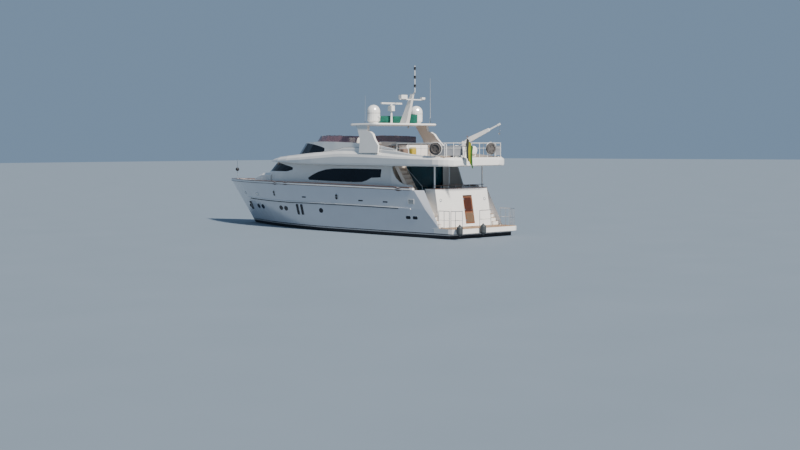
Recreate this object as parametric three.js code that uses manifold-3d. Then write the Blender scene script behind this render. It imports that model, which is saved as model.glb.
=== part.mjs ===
// Motor yacht, 28.6 m: raised pilothouse, flybridge with a radar arch, boat deck with a crane.
// Millimetres. +X is the bow, +Y is port, +Z is up.
// The origin is on the centreline at the waterline, amidships.
import * as THREE from "three";
import { mergeVertices } from "three/addons/utils/BufferGeometryUtils.js";
import Module from "manifold-3d";

const wasm = await Module();
wasm.setup();

// Driving sizes
const HULL_AFT_X = -13650; // after end of the underwater body
const BOTTOM_TOP_Z = 220; // top of the antifouling
const GAP = 0.3; // between pieces that touch
const CLEAR = 6; // between pieces that move
const FINEST = 0.05; // smallest edge that a piece keeps
const WIDE = 5000; // beyond the boat's side
const LONG = 20000; // beyond the boat's ends

const DECK_Z = [2330, 2350, 2390, 2480]; // main deck at the stern, a third, two thirds and the bow
const BULWARK = 150; // bulwark thickness
const CAP_H = 140; // height of the cap rail

const PLATFORM_Z = 650;
const PLATFORM_AFT_X = -14200;
const PLATFORM_FWD_X = -12290;
const PLATFORM_HALF = 3040;
const PLATFORM_T = 300;

const TRANSOM_TOP = [-11830, 3150]; // x and z of the transom's top edge
const TRANSOM_FOOT = [-12270, PLATFORM_Z];
const TRANSOM_HALF = 2420;
const STAIR_HALF = 2950; // outer side of the stern stairs

const HOUSE_AFT_X = -7900;
const HOUSE_HALF = 2640; // half breadth of the deckhouse at the deck
const HOUSE_TOP_Z = 4620;
const WALL = 70;

const BOAT_DECK_Z = 5200;
const BOAT_DECK_AFT_X = -13650;
const BOAT_DECK_HALF = 3240;

const ARCH_Z = 7350; // underside of the arch
const ARCH_T = 160;

// Hull lines, port side. y is half breadth; narrow and power shape its run to the stem; z has four heights.
const HULL_LINES = [
  { stemX: 11000, half: 60, aftHalf: 60, narrow: 0.9, power: 1, z: [-560, -1150, -1250, -60] },
  { stemX: 11250, half: 2980, aftHalf: 2800, narrow: 0.4, power: 1.9, z: [-330, -300, -180, 180] },
  { stemX: 11400, half: 3070, aftHalf: 2880, narrow: 0.42, power: 2, z: [330, 330, 345, 380] },
  { stemX: 13150, half: 3230, aftHalf: 3030, narrow: 0.44, power: 2.2, z: [1790, 1930, 1985, 2150] },
  { stemX: 14250, half: 3330, aftHalf: 3080, narrow: 0.46, power: 2.4, z: [3030, 3170, 3250, 3260] },
];
const KNUCKLE = 3;
const SHEER = 4;
const STEM_HALF = 45;

// Shapes

// Cubic through four values at 0, 1/3, 2/3 and 1.
function through(v, t) {
  const s = 3 * t;
  return (
    (v[0] * (s - 1) * (s - 2) * (s - 3)) / -6 +
    (v[1] * s * (s - 2) * (s - 3)) / 2 +
    (v[2] * s * (s - 1) * (s - 3)) / -2 +
    (v[3] * s * (s - 1) * (s - 2)) / 6
  );
}

// A smooth run through [x, value] rows that never swings past them.
function along(rows, x) {
  const up = rows[0][0] < rows[rows.length - 1][0] ? rows : [...rows].reverse();
  if (x <= up[0][0]) return up[0][1];
  const slope = (i) => (up[i + 1][1] - up[i][1]) / (up[i + 1][0] - up[i][0]);
  const last = up.length - 1;
  const tangent = (i) => {
    if (i === 0) return slope(0);
    if (i === last) return slope(last - 1);
    const [p, q] = [slope(i - 1), slope(i)];
    return p * q <= 0 ? 0 : (2 * p * q) / (p + q);
  };
  for (let i = 0; i < last; i++) {
    if (x > up[i + 1][0]) continue;
    const w = up[i + 1][0] - up[i][0];
    const s = (x - up[i][0]) / w;
    const [s2, s3] = [s * s, s * s * s];
    const ends = (2 * s3 - 3 * s2 + 1) * up[i][1] + (3 * s2 - 2 * s3) * up[i + 1][1];
    return ends + w * ((s3 - 2 * s2 + s) * tangent(i) + (s3 - s2) * tangent(i + 1));
  }
  return up[last][1];
}

function lerp(a, b, f) {
  return a.map((v, i) => v + (b[i] - v) * f);
}

function hullPoint(line, t) {
  const row = HULL_LINES[line];
  const x = HULL_AFT_X + (row.stemX - HULL_AFT_X) * t;
  const n = Math.max(0, (t - row.narrow) / (1 - row.narrow));
  const run = 1 - Math.pow(n, row.power);
  const aft = Math.max(0, 1 - t / 0.35);
  const y = STEM_HALF + (row.half - STEM_HALF - (row.half - row.aftHalf) * aft * aft) * run;
  return [x, y, through(row.z, t)];
}

// A closed solid through loops that have the same number of points and go the same way round.
function loft(loops) {
  const n = loops[0].length;
  const index = [];
  for (let k = 0; k + 1 < loops.length; k++) {
    for (let i = 0; i < n; i++) {
      const j = (i + 1) % n;
      const [a, b, c, d] = [k * n + i, k * n + j, (k + 1) * n + j, (k + 1) * n + i];
      index.push(a, b, c, a, c, d);
    }
  }
  const points = loops.flat();
  for (const k of [0, loops.length - 1]) {
    const middle = points.length;
    points.push([0, 1, 2].map((c) => loops[k].reduce((sum, p) => sum + p[c], 0) / n));
    for (let i = 0; i < n; i++) {
      const [a, b] = [k * n + i, k * n + ((i + 1) % n)];
      index.push(...(k === 0 ? [b, a, middle] : [a, b, middle]));
    }
  }
  return closed(points, index);
}

function closed(points, index) {
  const flat = new Float32Array(points.flat());
  const tris = new Uint32Array(index);
  let volume = 0;
  for (let i = 0; i < tris.length; i += 3) {
    const [a, b, c] = [0, 1, 2].map((k) => points[tris[i + k]]);
    volume += a[0] * (b[1] * c[2] - b[2] * c[1]) + a[1] * (b[2] * c[0] - b[0] * c[2]);
    volume += a[2] * (b[0] * c[1] - b[1] * c[0]);
  }
  if (volume < 0) tris.reverse();
  return new wasm.Manifold(new wasm.Mesh({ numProp: 3, vertProperties: flat, triVerts: tris }));
}

// A three.js geometry as a solid.
function solid(geometry) {
  const g = geometry.clone();
  g.deleteAttribute("normal");
  g.deleteAttribute("uv");
  const merged = mergeVertices(g, 1e-3);
  const { array } = merged.attributes.position;
  const vertProperties = new Float32Array(array);
  const triVerts = new Uint32Array(merged.index.array);
  return new wasm.Manifold(new wasm.Mesh({ numProp: 3, vertProperties, triVerts }));
}

function join(...solids) {
  return solids.reduce((a, b) => a.add(b));
}

function cut(base, ...tools) {
  return tools.reduce((a, b) => a.subtract(b), base);
}

// The largest body of a solid, without the slivers that a cut leaves.
function largest(s) {
  return s.decompose().sort((a, b) => b.volume() - a.volume())[0];
}

// A piece cut to stand on its carrier, a hair off it along a direction.
function seat(s, carrier, off = [0, 0, GAP]) {
  return largest(s.subtract(carrier.translate(off)));
}

// A box between two corners.
function box(x, y, z) {
  const g = new THREE.BoxGeometry(x[1] - x[0], y[1] - y[0], z[1] - z[0]);
  g.translate((x[0] + x[1]) / 2, (y[0] + y[1]) / 2, (z[0] + z[1]) / 2);
  return solid(g);
}

// A flat outline drawn out to a depth, along +Z.
function drawn(outline, depth) {
  const shape = new THREE.Shape(outline.map(([u, v]) => new THREE.Vector2(u, v)));
  return new THREE.ExtrudeGeometry(shape, { depth, bevelEnabled: false });
}

// An outline of [x, z] points drawn out across the boat.
function across(outline, y0, y1) {
  return solid(drawn(outline, y1 - y0).rotateX(Math.PI / 2).translate(0, y1, 0));
}

// An outline of [x, y] points drawn up.
function upright(outline, z0, z1) {
  return solid(drawn(outline, z1 - z0).translate(0, 0, z0));
}

// A round bar between two points.
function rod(a, b, r, sides = 8, r2 = r) {
  const [p, q] = [new THREE.Vector3(...a), new THREE.Vector3(...b)];
  const g = new THREE.CylinderGeometry(r2, r, p.distanceTo(q), sides);
  const way = q.clone().sub(p).normalize();
  g.applyQuaternion(new THREE.Quaternion().setFromUnitVectors(new THREE.Vector3(0, 1, 0), way));
  g.translate(...p.add(q).multiplyScalar(0.5).toArray());
  return solid(g);
}

// One tube through a row of points, mitred at the bends.
function pipe(points, r, sides = 6) {
  const at = points.map((p) => new THREE.Vector3(...p));
  const way = at.slice(1).map((q, i) => q.clone().sub(at[i]).normalize());
  const seed = Math.abs(way[0].z) > 0.9 ? new THREE.Vector3(1, 0, 0) : new THREE.Vector3(0, 0, 1);
  let u = seed.sub(way[0].clone().multiplyScalar(seed.dot(way[0]))).normalize();
  const rings = at.map((p, i) => {
    const before = way[Math.max(0, i - 1)];
    const after = way[Math.min(way.length - 1, i)];
    const w = before.clone().cross(u);
    const mitre = before.clone().add(after).normalize();
    const ring = [];
    for (let k = 0; k < sides; k++) {
      const a = ((k + 0.5) / sides) * 2 * Math.PI;
      const off = u.clone().multiplyScalar(r * Math.cos(a)).addScaledVector(w, r * Math.sin(a));
      off.addScaledVector(before, -off.dot(mitre) / before.dot(mitre));
      ring.push(off.add(p).toArray());
    }
    u = u.clone().applyQuaternion(new THREE.Quaternion().setFromUnitVectors(before, after));
    return ring;
  });
  return loft(rings);
}

// A turned piece about the vertical through x, y. Profile rows are [radius, z].
function turned(profile, x, y, sides = 16) {
  const g = new THREE.LatheGeometry(profile.map(([r, z]) => new THREE.Vector2(r, z)), sides);
  g.rotateX(Math.PI / 2);
  g.translate(x, y, 0);
  return solid(g);
}

// The same plan on both sides of the centreline, from port aft round the bow to starboard aft.
function mirrored(port) {
  return [...port, ...[...port].reverse().map(([x, y, ...rest]) => [x, -y, ...rest])];
}

const mirrorY = (s) => s.mirror([0, 1, 0]);

// The assembly
const yacht = new THREE.Group();

function paint(color, roughness, metalness = 0, opacity = 1) {
  return new THREE.MeshStandardMaterial({ color, roughness, metalness, opacity, transparent: opacity < 1 });
}

const GELCOAT = paint(0xe9e9e4, 0.25);
const ANTIFOULING = paint(0x14161a, 0.7);
const GLASS = paint(0x0c1822, 0.08, 0, 0.75);
const TEAK = paint(0x8a6a48, 0.7);
const VARNISH = paint(0x6a3a1c, 0.3);
const CHROME = paint(0xc8ccd0, 0.15, 1);
const BRONZE = paint(0x9a7440, 0.35, 1);
const CANVAS = paint(0x3a3438, 0.9);
const GREEN = paint(0x0f7a5a, 0.85);
const RUBBER = paint(0x6f7476, 0.6);
const FLAG = paint(0xc8c020, 0.9);
const TINT = paint(0x3c2030, 0.2, 0, 0.7);
const CUSHION = paint(0xd8d2c8, 0.9);

// Adds a solid as a named piece of the boat.
function piece(name, shape, material) {
  const mesh = shape.simplify(FINEST).getMesh();
  const g = new THREE.BufferGeometry();
  g.setAttribute("position", new THREE.BufferAttribute(mesh.vertProperties, mesh.numProp));
  g.setIndex(new THREE.BufferAttribute(mesh.triVerts, 1));
  g.computeVertexNormals();
  const made = new THREE.Mesh(g, material);
  made.name = name;
  yacht.add(made);
  return made;
}

// Hull

const STATIONS = [
  ...[0, 0.04, 0.08, 0.12, 0.18, 0.24, 0.3, 0.36, 0.42, 0.47, 0.52, 0.57, 0.62, 0.66, 0.7, 0.74, 0.78],
  ...[0.815, 0.85, 0.88, 0.905, 0.93, 0.95, 0.97, 0.985, 1],
];

function hullBody() {
  const loops = STATIONS.map((t) => mirrored(HULL_LINES.map((_, line) => hullPoint(line, t))));
  return loft(loops);
}

function deckZ(t) {
  return through(DECK_Z, t);
}

// A point of the topsides at a height, between the knuckle and the sheer.
function sidePoint(t, z) {
  const [k, s] = [hullPoint(KNUCKLE, t), hullPoint(SHEER, t)];
  return lerp(k, s, (z - k[2]) / (s[2] - k[2]));
}

// The well inside the bulwarks, from the deck up.
function deckWell(t0, t1) {
  const ts = [t0, ...STATIONS.filter((t) => t > t0 && t < t1), t1];
  return loft(
    ts.map((t) => {
      const [foot, top] = [sidePoint(t, deckZ(t)), hullPoint(SHEER, t)];
      return mirrored([
        [foot[0], foot[1] - BULWARK, deckZ(t)],
        [top[0], top[1] - BULWARK, top[2] + 600],
      ]);
    }),
  );
}

// The quarter wing's after edge falls to the platform and sweeps aft as it goes inboard. Each row is an
// upright section through the cut: its y, and its x at two heights.
const WING_TOP_Z = 3600;
const WING_LOW_Z = PLATFORM_Z - PLATFORM_T;
const WING_ROWS = [
  { y: 3300, topX: -10095, lowX: -11730 },
  { y: STAIR_HALF, topX: -11050, lowX: -12900 },
  { y: 2850, topX: -11323, lowX: -13234 },
];

function quarterCut() {
  const behind = ({ y, topX, lowX }) => [
    [topX, y, WING_TOP_Z],
    [lowX, y, WING_LOW_Z],
    [-16000, y, WING_LOW_Z],
    [-16000, y, WING_TOP_Z],
  ];
  const [outer, middle, inner] = WING_ROWS;
  const half = loft([behind(outer), behind(inner)]);
  const between = across(behind(middle).map(([x, , z]) => [x, z]), -STAIR_HALF, STAIR_HALF);
  return join(half, mirrorY(half), between);
}

// A strake that runs forward from the platform's edge and fades into the hull's side
const STRAKE = { aftX: PLATFORM_FWD_X + 2, foreX: -10830, aftY: PLATFORM_HALF - 60, foreY: 2900, low: 540 };

function strake(side) {
  const { aftX, foreX, aftY, foreY, low } = STRAKE;
  const section = (x, y) => [
    [x, side * 2800, low],
    [x, side * (y - 45), low],
    [x, side * y, low + 40],
    [x, side * y, PLATFORM_Z - 12],
    [x, side * (y - 12), PLATFORM_Z],
    [x, side * 2800, PLATFORM_Z],
  ];
  return loft([section(aftX, aftY), section(foreX, foreY)]);
}

function rubRail() {
  const loops = [];
  for (let t = 0.125; t <= 0.9; t += 0.055) {
    const [x, y, z] = hullPoint(KNUCKLE, t);
    loops.push([
      [x, y - 60, z - 50],
      [x, y + 35, z - 40],
      [x, y + 45, z + 20],
      [x, y - 60, z + 50],
    ]);
  }
  return loft(loops);
}

const wholeHull = hullBody();
const aboveBottom = box([-LONG, LONG], [-WIDE, WIDE], [BOTTOM_TOP_Z + GAP, 9000]);
const belowTop = box([-LONG, LONG], [-WIDE, WIDE], [-WIDE, BOTTOM_TOP_Z]);
const rail = rubRail();
const topsides = cut(
  join(wholeHull, rail, mirrorY(rail)).intersect(aboveBottom),
  deckWell(0.105, 0.962),
  quarterCut(),
  box([-15000, -10500], [-STAIR_HALF, STAIR_HALF], [PLATFORM_Z, 4000]),
  box([-LONG, PLATFORM_FWD_X + GAP], [-WIDE, WIDE], [PLATFORM_Z - PLATFORM_T, PLATFORM_Z + GAP]),
);
piece("hull", join(topsides, strake(1), strake(-1)), GELCOAT);

// Underwater body with its skeg, shafts and brackets

const SHAFT = { y: 1350, hubX: -11250, hubZ: -1230, length: 2900, r: 45, tilt: 0.12 };

function shaftPoint(side, back) {
  const run = SHAFT.length - back;
  return [SHAFT.hubX + run * Math.cos(SHAFT.tilt), side * SHAFT.y, SHAFT.hubZ + run * Math.sin(SHAFT.tilt)];
}

function shaftLine(side) {
  const aft = shaftPoint(side, SHAFT.length);
  const foot = shaftPoint(side, SHAFT.length - 200);
  return join(
    rod(shaftPoint(side, 0), shaftPoint(side, SHAFT.length - 120), SHAFT.r, 10),
    rod(shaftPoint(side, SHAFT.length - 380), aft, 85, 12),
    rod(foot, [foot[0] + 60, side * (SHAFT.y - 350), -560], 38, 6),
    rod(foot, [foot[0] + 60, side * (SHAFT.y + 350), -420], 38, 6),
  );
}

const RUDDER = { x: -12450, y: 1350, top: -640, low: -1780, chord: 900, back: 300 };

const skeg = across(
  [
    [7200, -700],
    [4600, -1780],
    [-6600, -1900],
    [-9000, -700],
  ],
  -90,
  90,
);
function rudderBoss(side) {
  const { x, y, top } = RUDDER;
  return rod([x, side * y, -200], [x, side * y, top], 120, 12);
}

piece(
  "hull_bottom",
  join(
    wholeHull.intersect(belowTop),
    skeg,
    shaftLine(1),
    shaftLine(-1),
    rudderBoss(1),
    rudderBoss(-1),
  ),
  ANTIFOULING,
);

// Propellers

const PROPELLER = { r: 520, hubR: 85, hubLength: 190, blades: 4, pitch: 0.55 };

function propeller(side) {
  const parts = [
    solid(new THREE.CylinderGeometry(PROPELLER.hubR, 60, PROPELLER.hubLength, 12).rotateZ(-Math.PI / 2)),
  ];
  for (let i = 0; i < PROPELLER.blades; i++) {
    const blade = new THREE.CylinderGeometry(180, 180, 26, 12).rotateZ(Math.PI / 2).scale(1, 1, 1.28);
    blade.rotateZ(side * PROPELLER.pitch).translate(0, 0, PROPELLER.r - 230);
    blade.rotateX((i * 2 * Math.PI) / PROPELLER.blades);
    parts.push(solid(blade));
  }
  return join(...parts);
}

function placePropeller(name, side) {
  const made = piece(name, propeller(side), BRONZE);
  const reach = PROPELLER.hubLength / 2 + GAP;
  made.rotation.y = -SHAFT.tilt;
  made.position.set(
    SHAFT.hubX - reach * Math.cos(SHAFT.tilt),
    side * SHAFT.y,
    SHAFT.hubZ - reach * Math.sin(SHAFT.tilt),
  );
}

placePropeller("propeller_port", 1);
placePropeller("propeller_stbd", -1);

// Rudders

function rudder(side) {
  const { x, y, top, low, chord, back } = RUDDER;
  const section = (z, length) => [
    [x + back * (length / chord), side * y - 10, z],
    [x + back * (length / chord), side * y + 10, z],
    [x, side * y + 55, z],
    [x - length + back, side * y + 8, z],
    [x - length + back, side * y - 8, z],
    [x, side * y - 55, z],
  ];
  const stock = rod([x, side * y, top - 200], [x, side * y, top - GAP], 50, 12);
  return join(loft([section(low, chord * 0.8), section(top - 60, chord)]), stock);
}

piece("rudder_port", rudder(1), BRONZE);
piece("rudder_stbd", rudder(-1), BRONZE);

// Cap rail on the bulwark, one piece round the bow

const STEM_TOP_Z = 3263;

function capRail() {
  const ts = [0.112, ...STATIONS.filter((t) => t > 0.13)];
  const side = (w) =>
    ts.map((t) => {
      const [x, y, sheerZ] = hullPoint(SHEER, t);
      const z = t > 0.9 ? Math.max(sheerZ, STEM_TOP_Z) : sheerZ;
      const outer = y + 35;
      const inner = Math.max(y - BULWARK - 20, 0);
      if (w === 0) return [x + (t === 1 ? 60 : 0), outer, z];
      return [x - Math.max(0, t - 0.94) * 5200, inner, z];
    });
  const [out, inn] = [side(0), side(1)];
  const plan = (rise, grow) => [
    ...mirrored(out.map(([x, y, z]) => [x, y + grow, z + rise])),
    ...mirrored(inn.map(([x, y, z]) => [x, Math.max(y - grow, 1), z + rise])).reverse(),
  ];
  return ringSolid(plan(2 * GAP, 0), plan(CAP_H, -20));
}

// A solid between two loops of the same points, whose caps follow the loops as strips from out to in.
function ringSolid(low, high) {
  const n = low.length;
  const half = n / 2;
  const index = [];
  for (let i = 0; i < n; i++) {
    const j = (i + 1) % n;
    index.push(i, j, n + j, i, n + j, n + i);
  }
  for (let i = 0; i + 1 < half; i++) {
    const [a, b, c, d] = [i, i + 1, n - 2 - i, n - 1 - i];
    index.push(a, c, b, a, d, c);
    index.push(n + a, n + b, n + c, n + a, n + c, n + d);
  }
  return closed([...low, ...high], index);
}

piece("cap_rail", capRail(), GELCOAT);

// Deckhouse: plan half breadths by height, its front rounded

const FRONT_RUN = 4300; // length of the rounded front
const FRONT_STEPS = 9;

// The plan of the house at a height, drawn in by a distance, from port aft round the front to starboard aft.
function housePlan({ frontX, half, z }, by = 0) {
  const port = [[HOUSE_AFT_X + (by > 0 ? -400 : 0), half - by, z]];
  const start = frontX - FRONT_RUN;
  for (let i = 0; i <= FRONT_STEPS; i++) {
    const a = (i / FRONT_STEPS) * (Math.PI / 2);
    const x = start + (FRONT_RUN - by) * Math.pow(Math.sin(a), 0.9);
    const y = (half - by) * Math.pow(Math.cos(a), 0.55);
    port.push([x, i < FRONT_STEPS ? y : 1, z]);
  }
  return mirrored(port);
}

const HOUSE_LEVELS = [
  { z: 2250, frontX: 7300, half: HOUSE_HALF },
  { z: 3450, frontX: 7300, half: HOUSE_HALF - 15 },
  { z: 4060, frontX: 7350, half: HOUSE_HALF - 50 },
  { z: HOUSE_TOP_Z - GAP, frontX: 6650, half: HOUSE_HALF - 120 },
  { z: 4830, frontX: 6400, half: HOUSE_HALF - 170 },
];

// The house between two depths in from its outside, open at top, foot and after end.
function houseSkin(outerBy, innerBy) {
  const outer = loft(HOUSE_LEVELS.map((level) => housePlan(level, outerBy)));
  const tall = HOUSE_LEVELS.map((level, i) => {
    const lift = i === 0 ? -50 : i === HOUSE_LEVELS.length - 1 ? 50 : 0;
    return { ...level, z: level.z + lift };
  });
  return cut(outer, loft(tall.map((level) => housePlan(level, innerBy))));
}

// Saloon side window, an almond that steps up at its after end. Rows are [x, z].
const SALOON_WINDOW = [
  [980, 3560],
  [1120, 3700],
  [700, 3900],
  [0, 4150],
  [-830, 4320],
  [-1700, 4400],
  [-3400, 4415],
  [-6790, 4400],
  [-6740, 3840],
  [-5780, 3800],
  [-5350, 3620],
  [-4840, 3500],
  [-4000, 3480],
  [-1500, 3510],
];

// Dark band round the pilothouse. Rows are [x, z].
const PILOT_OUTLINE = [
  [2960, 4420],
  [2990, 4260],
  [3700, 4140],
  [9000, 4140],
  [9000, 4822],
  [5600, 4822],
  [4600, 4700],
  [3300, 4510],
];

// An outline drawn out through one side of the house, s being 1 for port and -1 for starboard.
function sideCut(outline, s) {
  return s > 0 ? across(outline, 2300, 3000) : across(outline, -3000, -2300);
}

const holes = [sideCut(SALOON_WINDOW, 1), sideCut(SALOON_WINDOW, -1), across(PILOT_OUTLINE, -WIDE, WIDE)];
piece("house", seat(cut(houseSkin(0, WALL), ...holes), topsides), GELCOAT);

// A flat outline drawn in all round by a distance.
function inset(outline, by) {
  const way = Math.sign(THREE.ShapeUtils.area(outline.map(([u, v]) => new THREE.Vector2(u, v))));
  const side = (p, q) => {
    const d = Math.hypot(q[0] - p[0], q[1] - p[1]);
    return [(-(q[1] - p[1]) / d) * way, ((q[0] - p[0]) / d) * way];
  };
  return outline.map((p, i) => {
    const before = side(outline[(i + outline.length - 1) % outline.length], p);
    const after = side(p, outline[(i + 1) % outline.length]);
    const spread = 1 + before[0] * after[0] + before[1] * after[1];
    return [0, 1].map((k) => p[k] + (by * (before[k] + after[k])) / spread);
  });
}

const glassSkin = houseSkin(12, 40);
for (const [name, side] of [["saloon_glass_port", 1], ["saloon_glass_stbd", -1]]) {
  piece(name, glassSkin.intersect(sideCut(inset(SALOON_WINDOW, GAP), side)), GLASS);
}
piece("windshield", glassSkin.intersect(across(inset(PILOT_OUTLINE, GAP), -WIDE, WIDE)), GLASS);

// Foredeck trunk ahead of the windshield: half breadth and top by station
const TRUNK = [
  { x: 10700, half: 420, z: 2900 },
  { x: 10200, half: 900, z: 3380 },
  { x: 9400, half: 1350, z: 3640 },
  { x: 8400, half: 1750, z: 3860 },
  { x: 7450, half: 2050, z: 4030 },
  { x: 6000, half: 2300, z: 4060 },
];

// The house as one block, grown by a distance.
function houseBlock(grow) {
  const levels = HOUSE_LEVELS.map(({ z, frontX, half }) => ({ z, frontX: frontX + grow, half: half + grow }));
  const top = levels[levels.length - 1];
  top.z += grow;
  return loft(levels.map((level) => housePlan(level)));
}

function trunk() {
  const body = loft(
    TRUNK.map(({ x, half, z }) => [
      [x, half + 60, 2300],
      [x, half, z - 220],
      [x, half - 180, z - 50],
      [x, 0, z],
      [x, -half + 180, z - 50],
      [x, -half, z - 220],
      [x, -half - 60, 2300],
    ]),
  );
  return cut(body, houseBlock(GAP));
}

piece("trunk", seat(trunk(), topsides), GELCOAT);

// After bulkhead of the saloon, with two sliding doors in the middle that run on its sill
const DOOR = { half: 950, overlap: 20, low: 2356, high: 4510, t: 40 };
const BULKHEAD = { aftX: HOUSE_AFT_X - 70, half: 2600, trackHalf: 1900, trackAftX: HOUSE_AFT_X - 130 };

function saloonBulkhead() {
  const { aftX, half, trackHalf, trackAftX } = BULKHEAD;
  const track = (low, high) => box([trackAftX, aftX + 1], [-trackHalf, trackHalf], [low, high]);
  const panel = cut(
    box([aftX, HOUSE_AFT_X - GAP], [-half, half], [2300, HOUSE_TOP_Z - GAP]),
    box([aftX - 100, HOUSE_AFT_X + 100], [-DOOR.half, DOOR.half], [DOOR.low, DOOR.high - 30]),
  );
  return join(panel, track(2300, DOOR.low - GAP), track(DOOR.high + GAP, DOOR.high + 60));
}

piece("saloon_bulkhead", seat(saloonBulkhead(), topsides), GLASS);
for (const [name, s] of [["saloon_door_port", 1], ["saloon_door_stbd", -1]]) {
  const x = BULKHEAD.aftX - CLEAR;
  const y = [s * 3, s * (DOOR.half + DOOR.overlap)].sort((a, b) => a - b);
  piece(name, box([x - DOOR.t, x], y, [DOOR.low, DOOR.high]), GLASS);
}

// Boat deck and brow by station: half breadth, and the heights of its underside, of the fascia's upper edge,
// of the rounded shoulder above it and of the moulding on top
const BROW_HALF = [
  [7450, 400],
  [7250, 1000],
  [6700, 1650],
  [5900, 2200],
  [4600, 2720],
  [2600, 3080],
  [0, BOAT_DECK_HALF],
  [-9500, BOAT_DECK_HALF],
  [-12300, 3120],
  [-13000, 2830],
  [-13450, 2350],
  [BOAT_DECK_AFT_X, 1700],
];
const UNDERSIDE = [
  [7450, 4840],
  [6300, 4835],
  [4600, 4800],
  [1500, 4730],
  [-4000, HOUSE_TOP_Z],
  [-13450, HOUSE_TOP_Z],
  [BOAT_DECK_AFT_X, 4690],
];
const FASCIA_TOP = [
  [7450, 4868],
  [4600, 4930],
  [2300, 4975],
  [-550, 5120],
  [-3400, 5250],
  [-5100, 5230],
  [-8600, 5134],
  [-13300, 5040],
  [BOAT_DECK_AFT_X, 4960],
];
const SHOULDER_TOP = [
  [7450, 4888],
  [4600, 5150],
  [2300, 5290],
  [-550, 5470],
  [-3400, 5640],
  [-5100, 5600],
  [-7070, 5530],
  [-8600, 5400],
  [-10100, 5300],
  [-12600, 5185],
  [-13450, 5170],
  [BOAT_DECK_AFT_X, 5060],
];
const MOULDING_TOP = [
  [7450, 4900],
  [6300, 5010],
  [4600, 5200],
  [2300, 5350],
  [0, 5510],
  [-1360, 5580],
  [-2700, 5735],
  [-3400, 5860],
  [-5100, 5873],
  [-7070, 5770],
  [-8600, 5640],
  [-10100, 5420],
  [-11500, 5310],
  [-12600, 5245],
  [-13450, 5200],
  [BOAT_DECK_AFT_X, 5080],
];
const DECK_STATIONS = [
  ...[7450, 7250, 6700, 5900, 4600, 3200, 1500, 0, -1360, -2700, -3400, -5100, -7070, -8600, -10100],
  ...[-11500, -12300, -12700, -13000, -13250, -13450, -13570, BOAT_DECK_AFT_X],
];
const RIM_AFT_X = -12600; // after end of the rim, where the moulding has run out
const RIM_W = 400; // from the fascia to the rim's inner side
const STAIR_HATCH = { x: [-9300, -7700], y: [1900, 2700] };

function deckSection(x) {
  const [w, low] = [along(BROW_HALF, x), along(UNDERSIDE, x)];
  const [fascia, shoulder, top] = [FASCIA_TOP, SHOULDER_TOP, MOULDING_TOP].map((rows) => along(rows, x));
  return mirrored([
    [x, w - 160, low],
    [x, w - 40, low + (fascia - low) * 0.08],
    [x, w, low + (fascia - low) * 0.3],
    [x, w, fascia],
    [x, w - 60, fascia + (shoulder - fascia) * 0.5],
    [x, w - 215, shoulder],
    [x, w - 235, shoulder + (top - shoulder) * 0.75],
    [x, w - 262, top],
    [x, w - 340, top],
  ]);
}

const deckBody = loft(DECK_STATIONS.map(deckSection));
const deckWellSolid = loft(
  [3600, 2600, 0, -3000, -6000, -9300, -11500, -12500, -14000].map((x) => {
    const w = along(BROW_HALF, Math.max(x, -12500)) - RIM_W - Math.max(0, x) * 0.16;
    return mirrored([
      [x, w, BOAT_DECK_Z],
      [x, w, 6400],
    ]);
  }),
);

const [hatchX, hatchY] = [STAIR_HATCH.x, STAIR_HATCH.y];
const boatDeckSolid = cut(
  deckBody,
  deckWellSolid,
  box([-LONG, RIM_AFT_X], [-WIDE, WIDE], [BOAT_DECK_Z, 6400]),
  houseBlock(GAP),
  box(hatchX, hatchY, [4000, 6000]),
);

// The deck's slab is in two mouldings that meet at the stair's hatch, the forward one with the strip
// outboard of the hatch. The rim stands on them in two halves.
const deckBox = (x, y, z = [0, BOAT_DECK_Z]) => box(x, y, z);
const acrossDeck = [-WIDE, WIDE];
const besideHatch = deckBox([hatchX[0], LONG], [hatchY[0], WIDE]);
const aftZone = cut(deckBox([-LONG, hatchX[1] - GAP], acrossDeck), besideHatch);
const strip = deckBox([hatchX[0] + GAP, hatchX[1] + 1], [hatchY[1], WIDE]);
const forwardZone = join(deckBox([hatchX[1], LONG], acrossDeck), strip);
piece("boat_deck", largest(boatDeckSolid.intersect(aftZone)), GELCOAT);
piece("boat_deck_forward", largest(boatDeckSolid.intersect(forwardZone)), GELCOAT);
for (const [name, y] of [["rim_port", [GAP / 2, WIDE]], ["rim_stbd", [-WIDE, -GAP / 2]]]) {
  const zone = deckBox([RIM_AFT_X, LONG], y, [BOAT_DECK_Z + GAP, 9000]);
  piece(name, largest(boatDeckSolid.intersect(zone)), GELCOAT);
}

// Flybridge coaming, a wall round the front; rows are its foot and its top, port side from aft
const COAMING_FOOT = [
  [-8600, 2970],
  [-6000, 2970],
  [-3000, 2970],
  [-1800, 2950],
  [-500, 2880],
  [1200, 2700],
  [2600, 2320],
  [3650, 1720],
  [4350, 960],
  [4680, 0],
];
const COAMING_TOP = [
  [-8600, 2930, 5720],
  [-6800, 2930, 6030],
  [-4000, 2920, 6210],
  [-2300, 2890, 6270],
  [-1000, 2800, 6295],
  [300, 2640, 6285],
  [1500, 2250, 6270],
  [2450, 1680, 6260],
  [3080, 940, 6250],
  [3320, 0, 6250],
];
const COAMING_T = 130;

function inward(port, by) {
  return port.map((p, i) => {
    const [a, b] = [port[Math.max(0, i - 1)], port[Math.min(port.length - 1, i + 1)]];
    const [dx, dy] = i === port.length - 1 ? [0, -1] : [b[0] - a[0], b[1] - a[1]];
    const d = Math.hypot(dx, dy);
    return [p[0] + (dy / d) * by, Math.max(p[1] - (dx / d) * by, 0), ...p.slice(2)];
  });
}

function bothSides(port) {
  return [...port, ...port.slice(0, -1).reverse().map(([x, y, ...rest]) => [x, -y, ...rest])];
}

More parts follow.
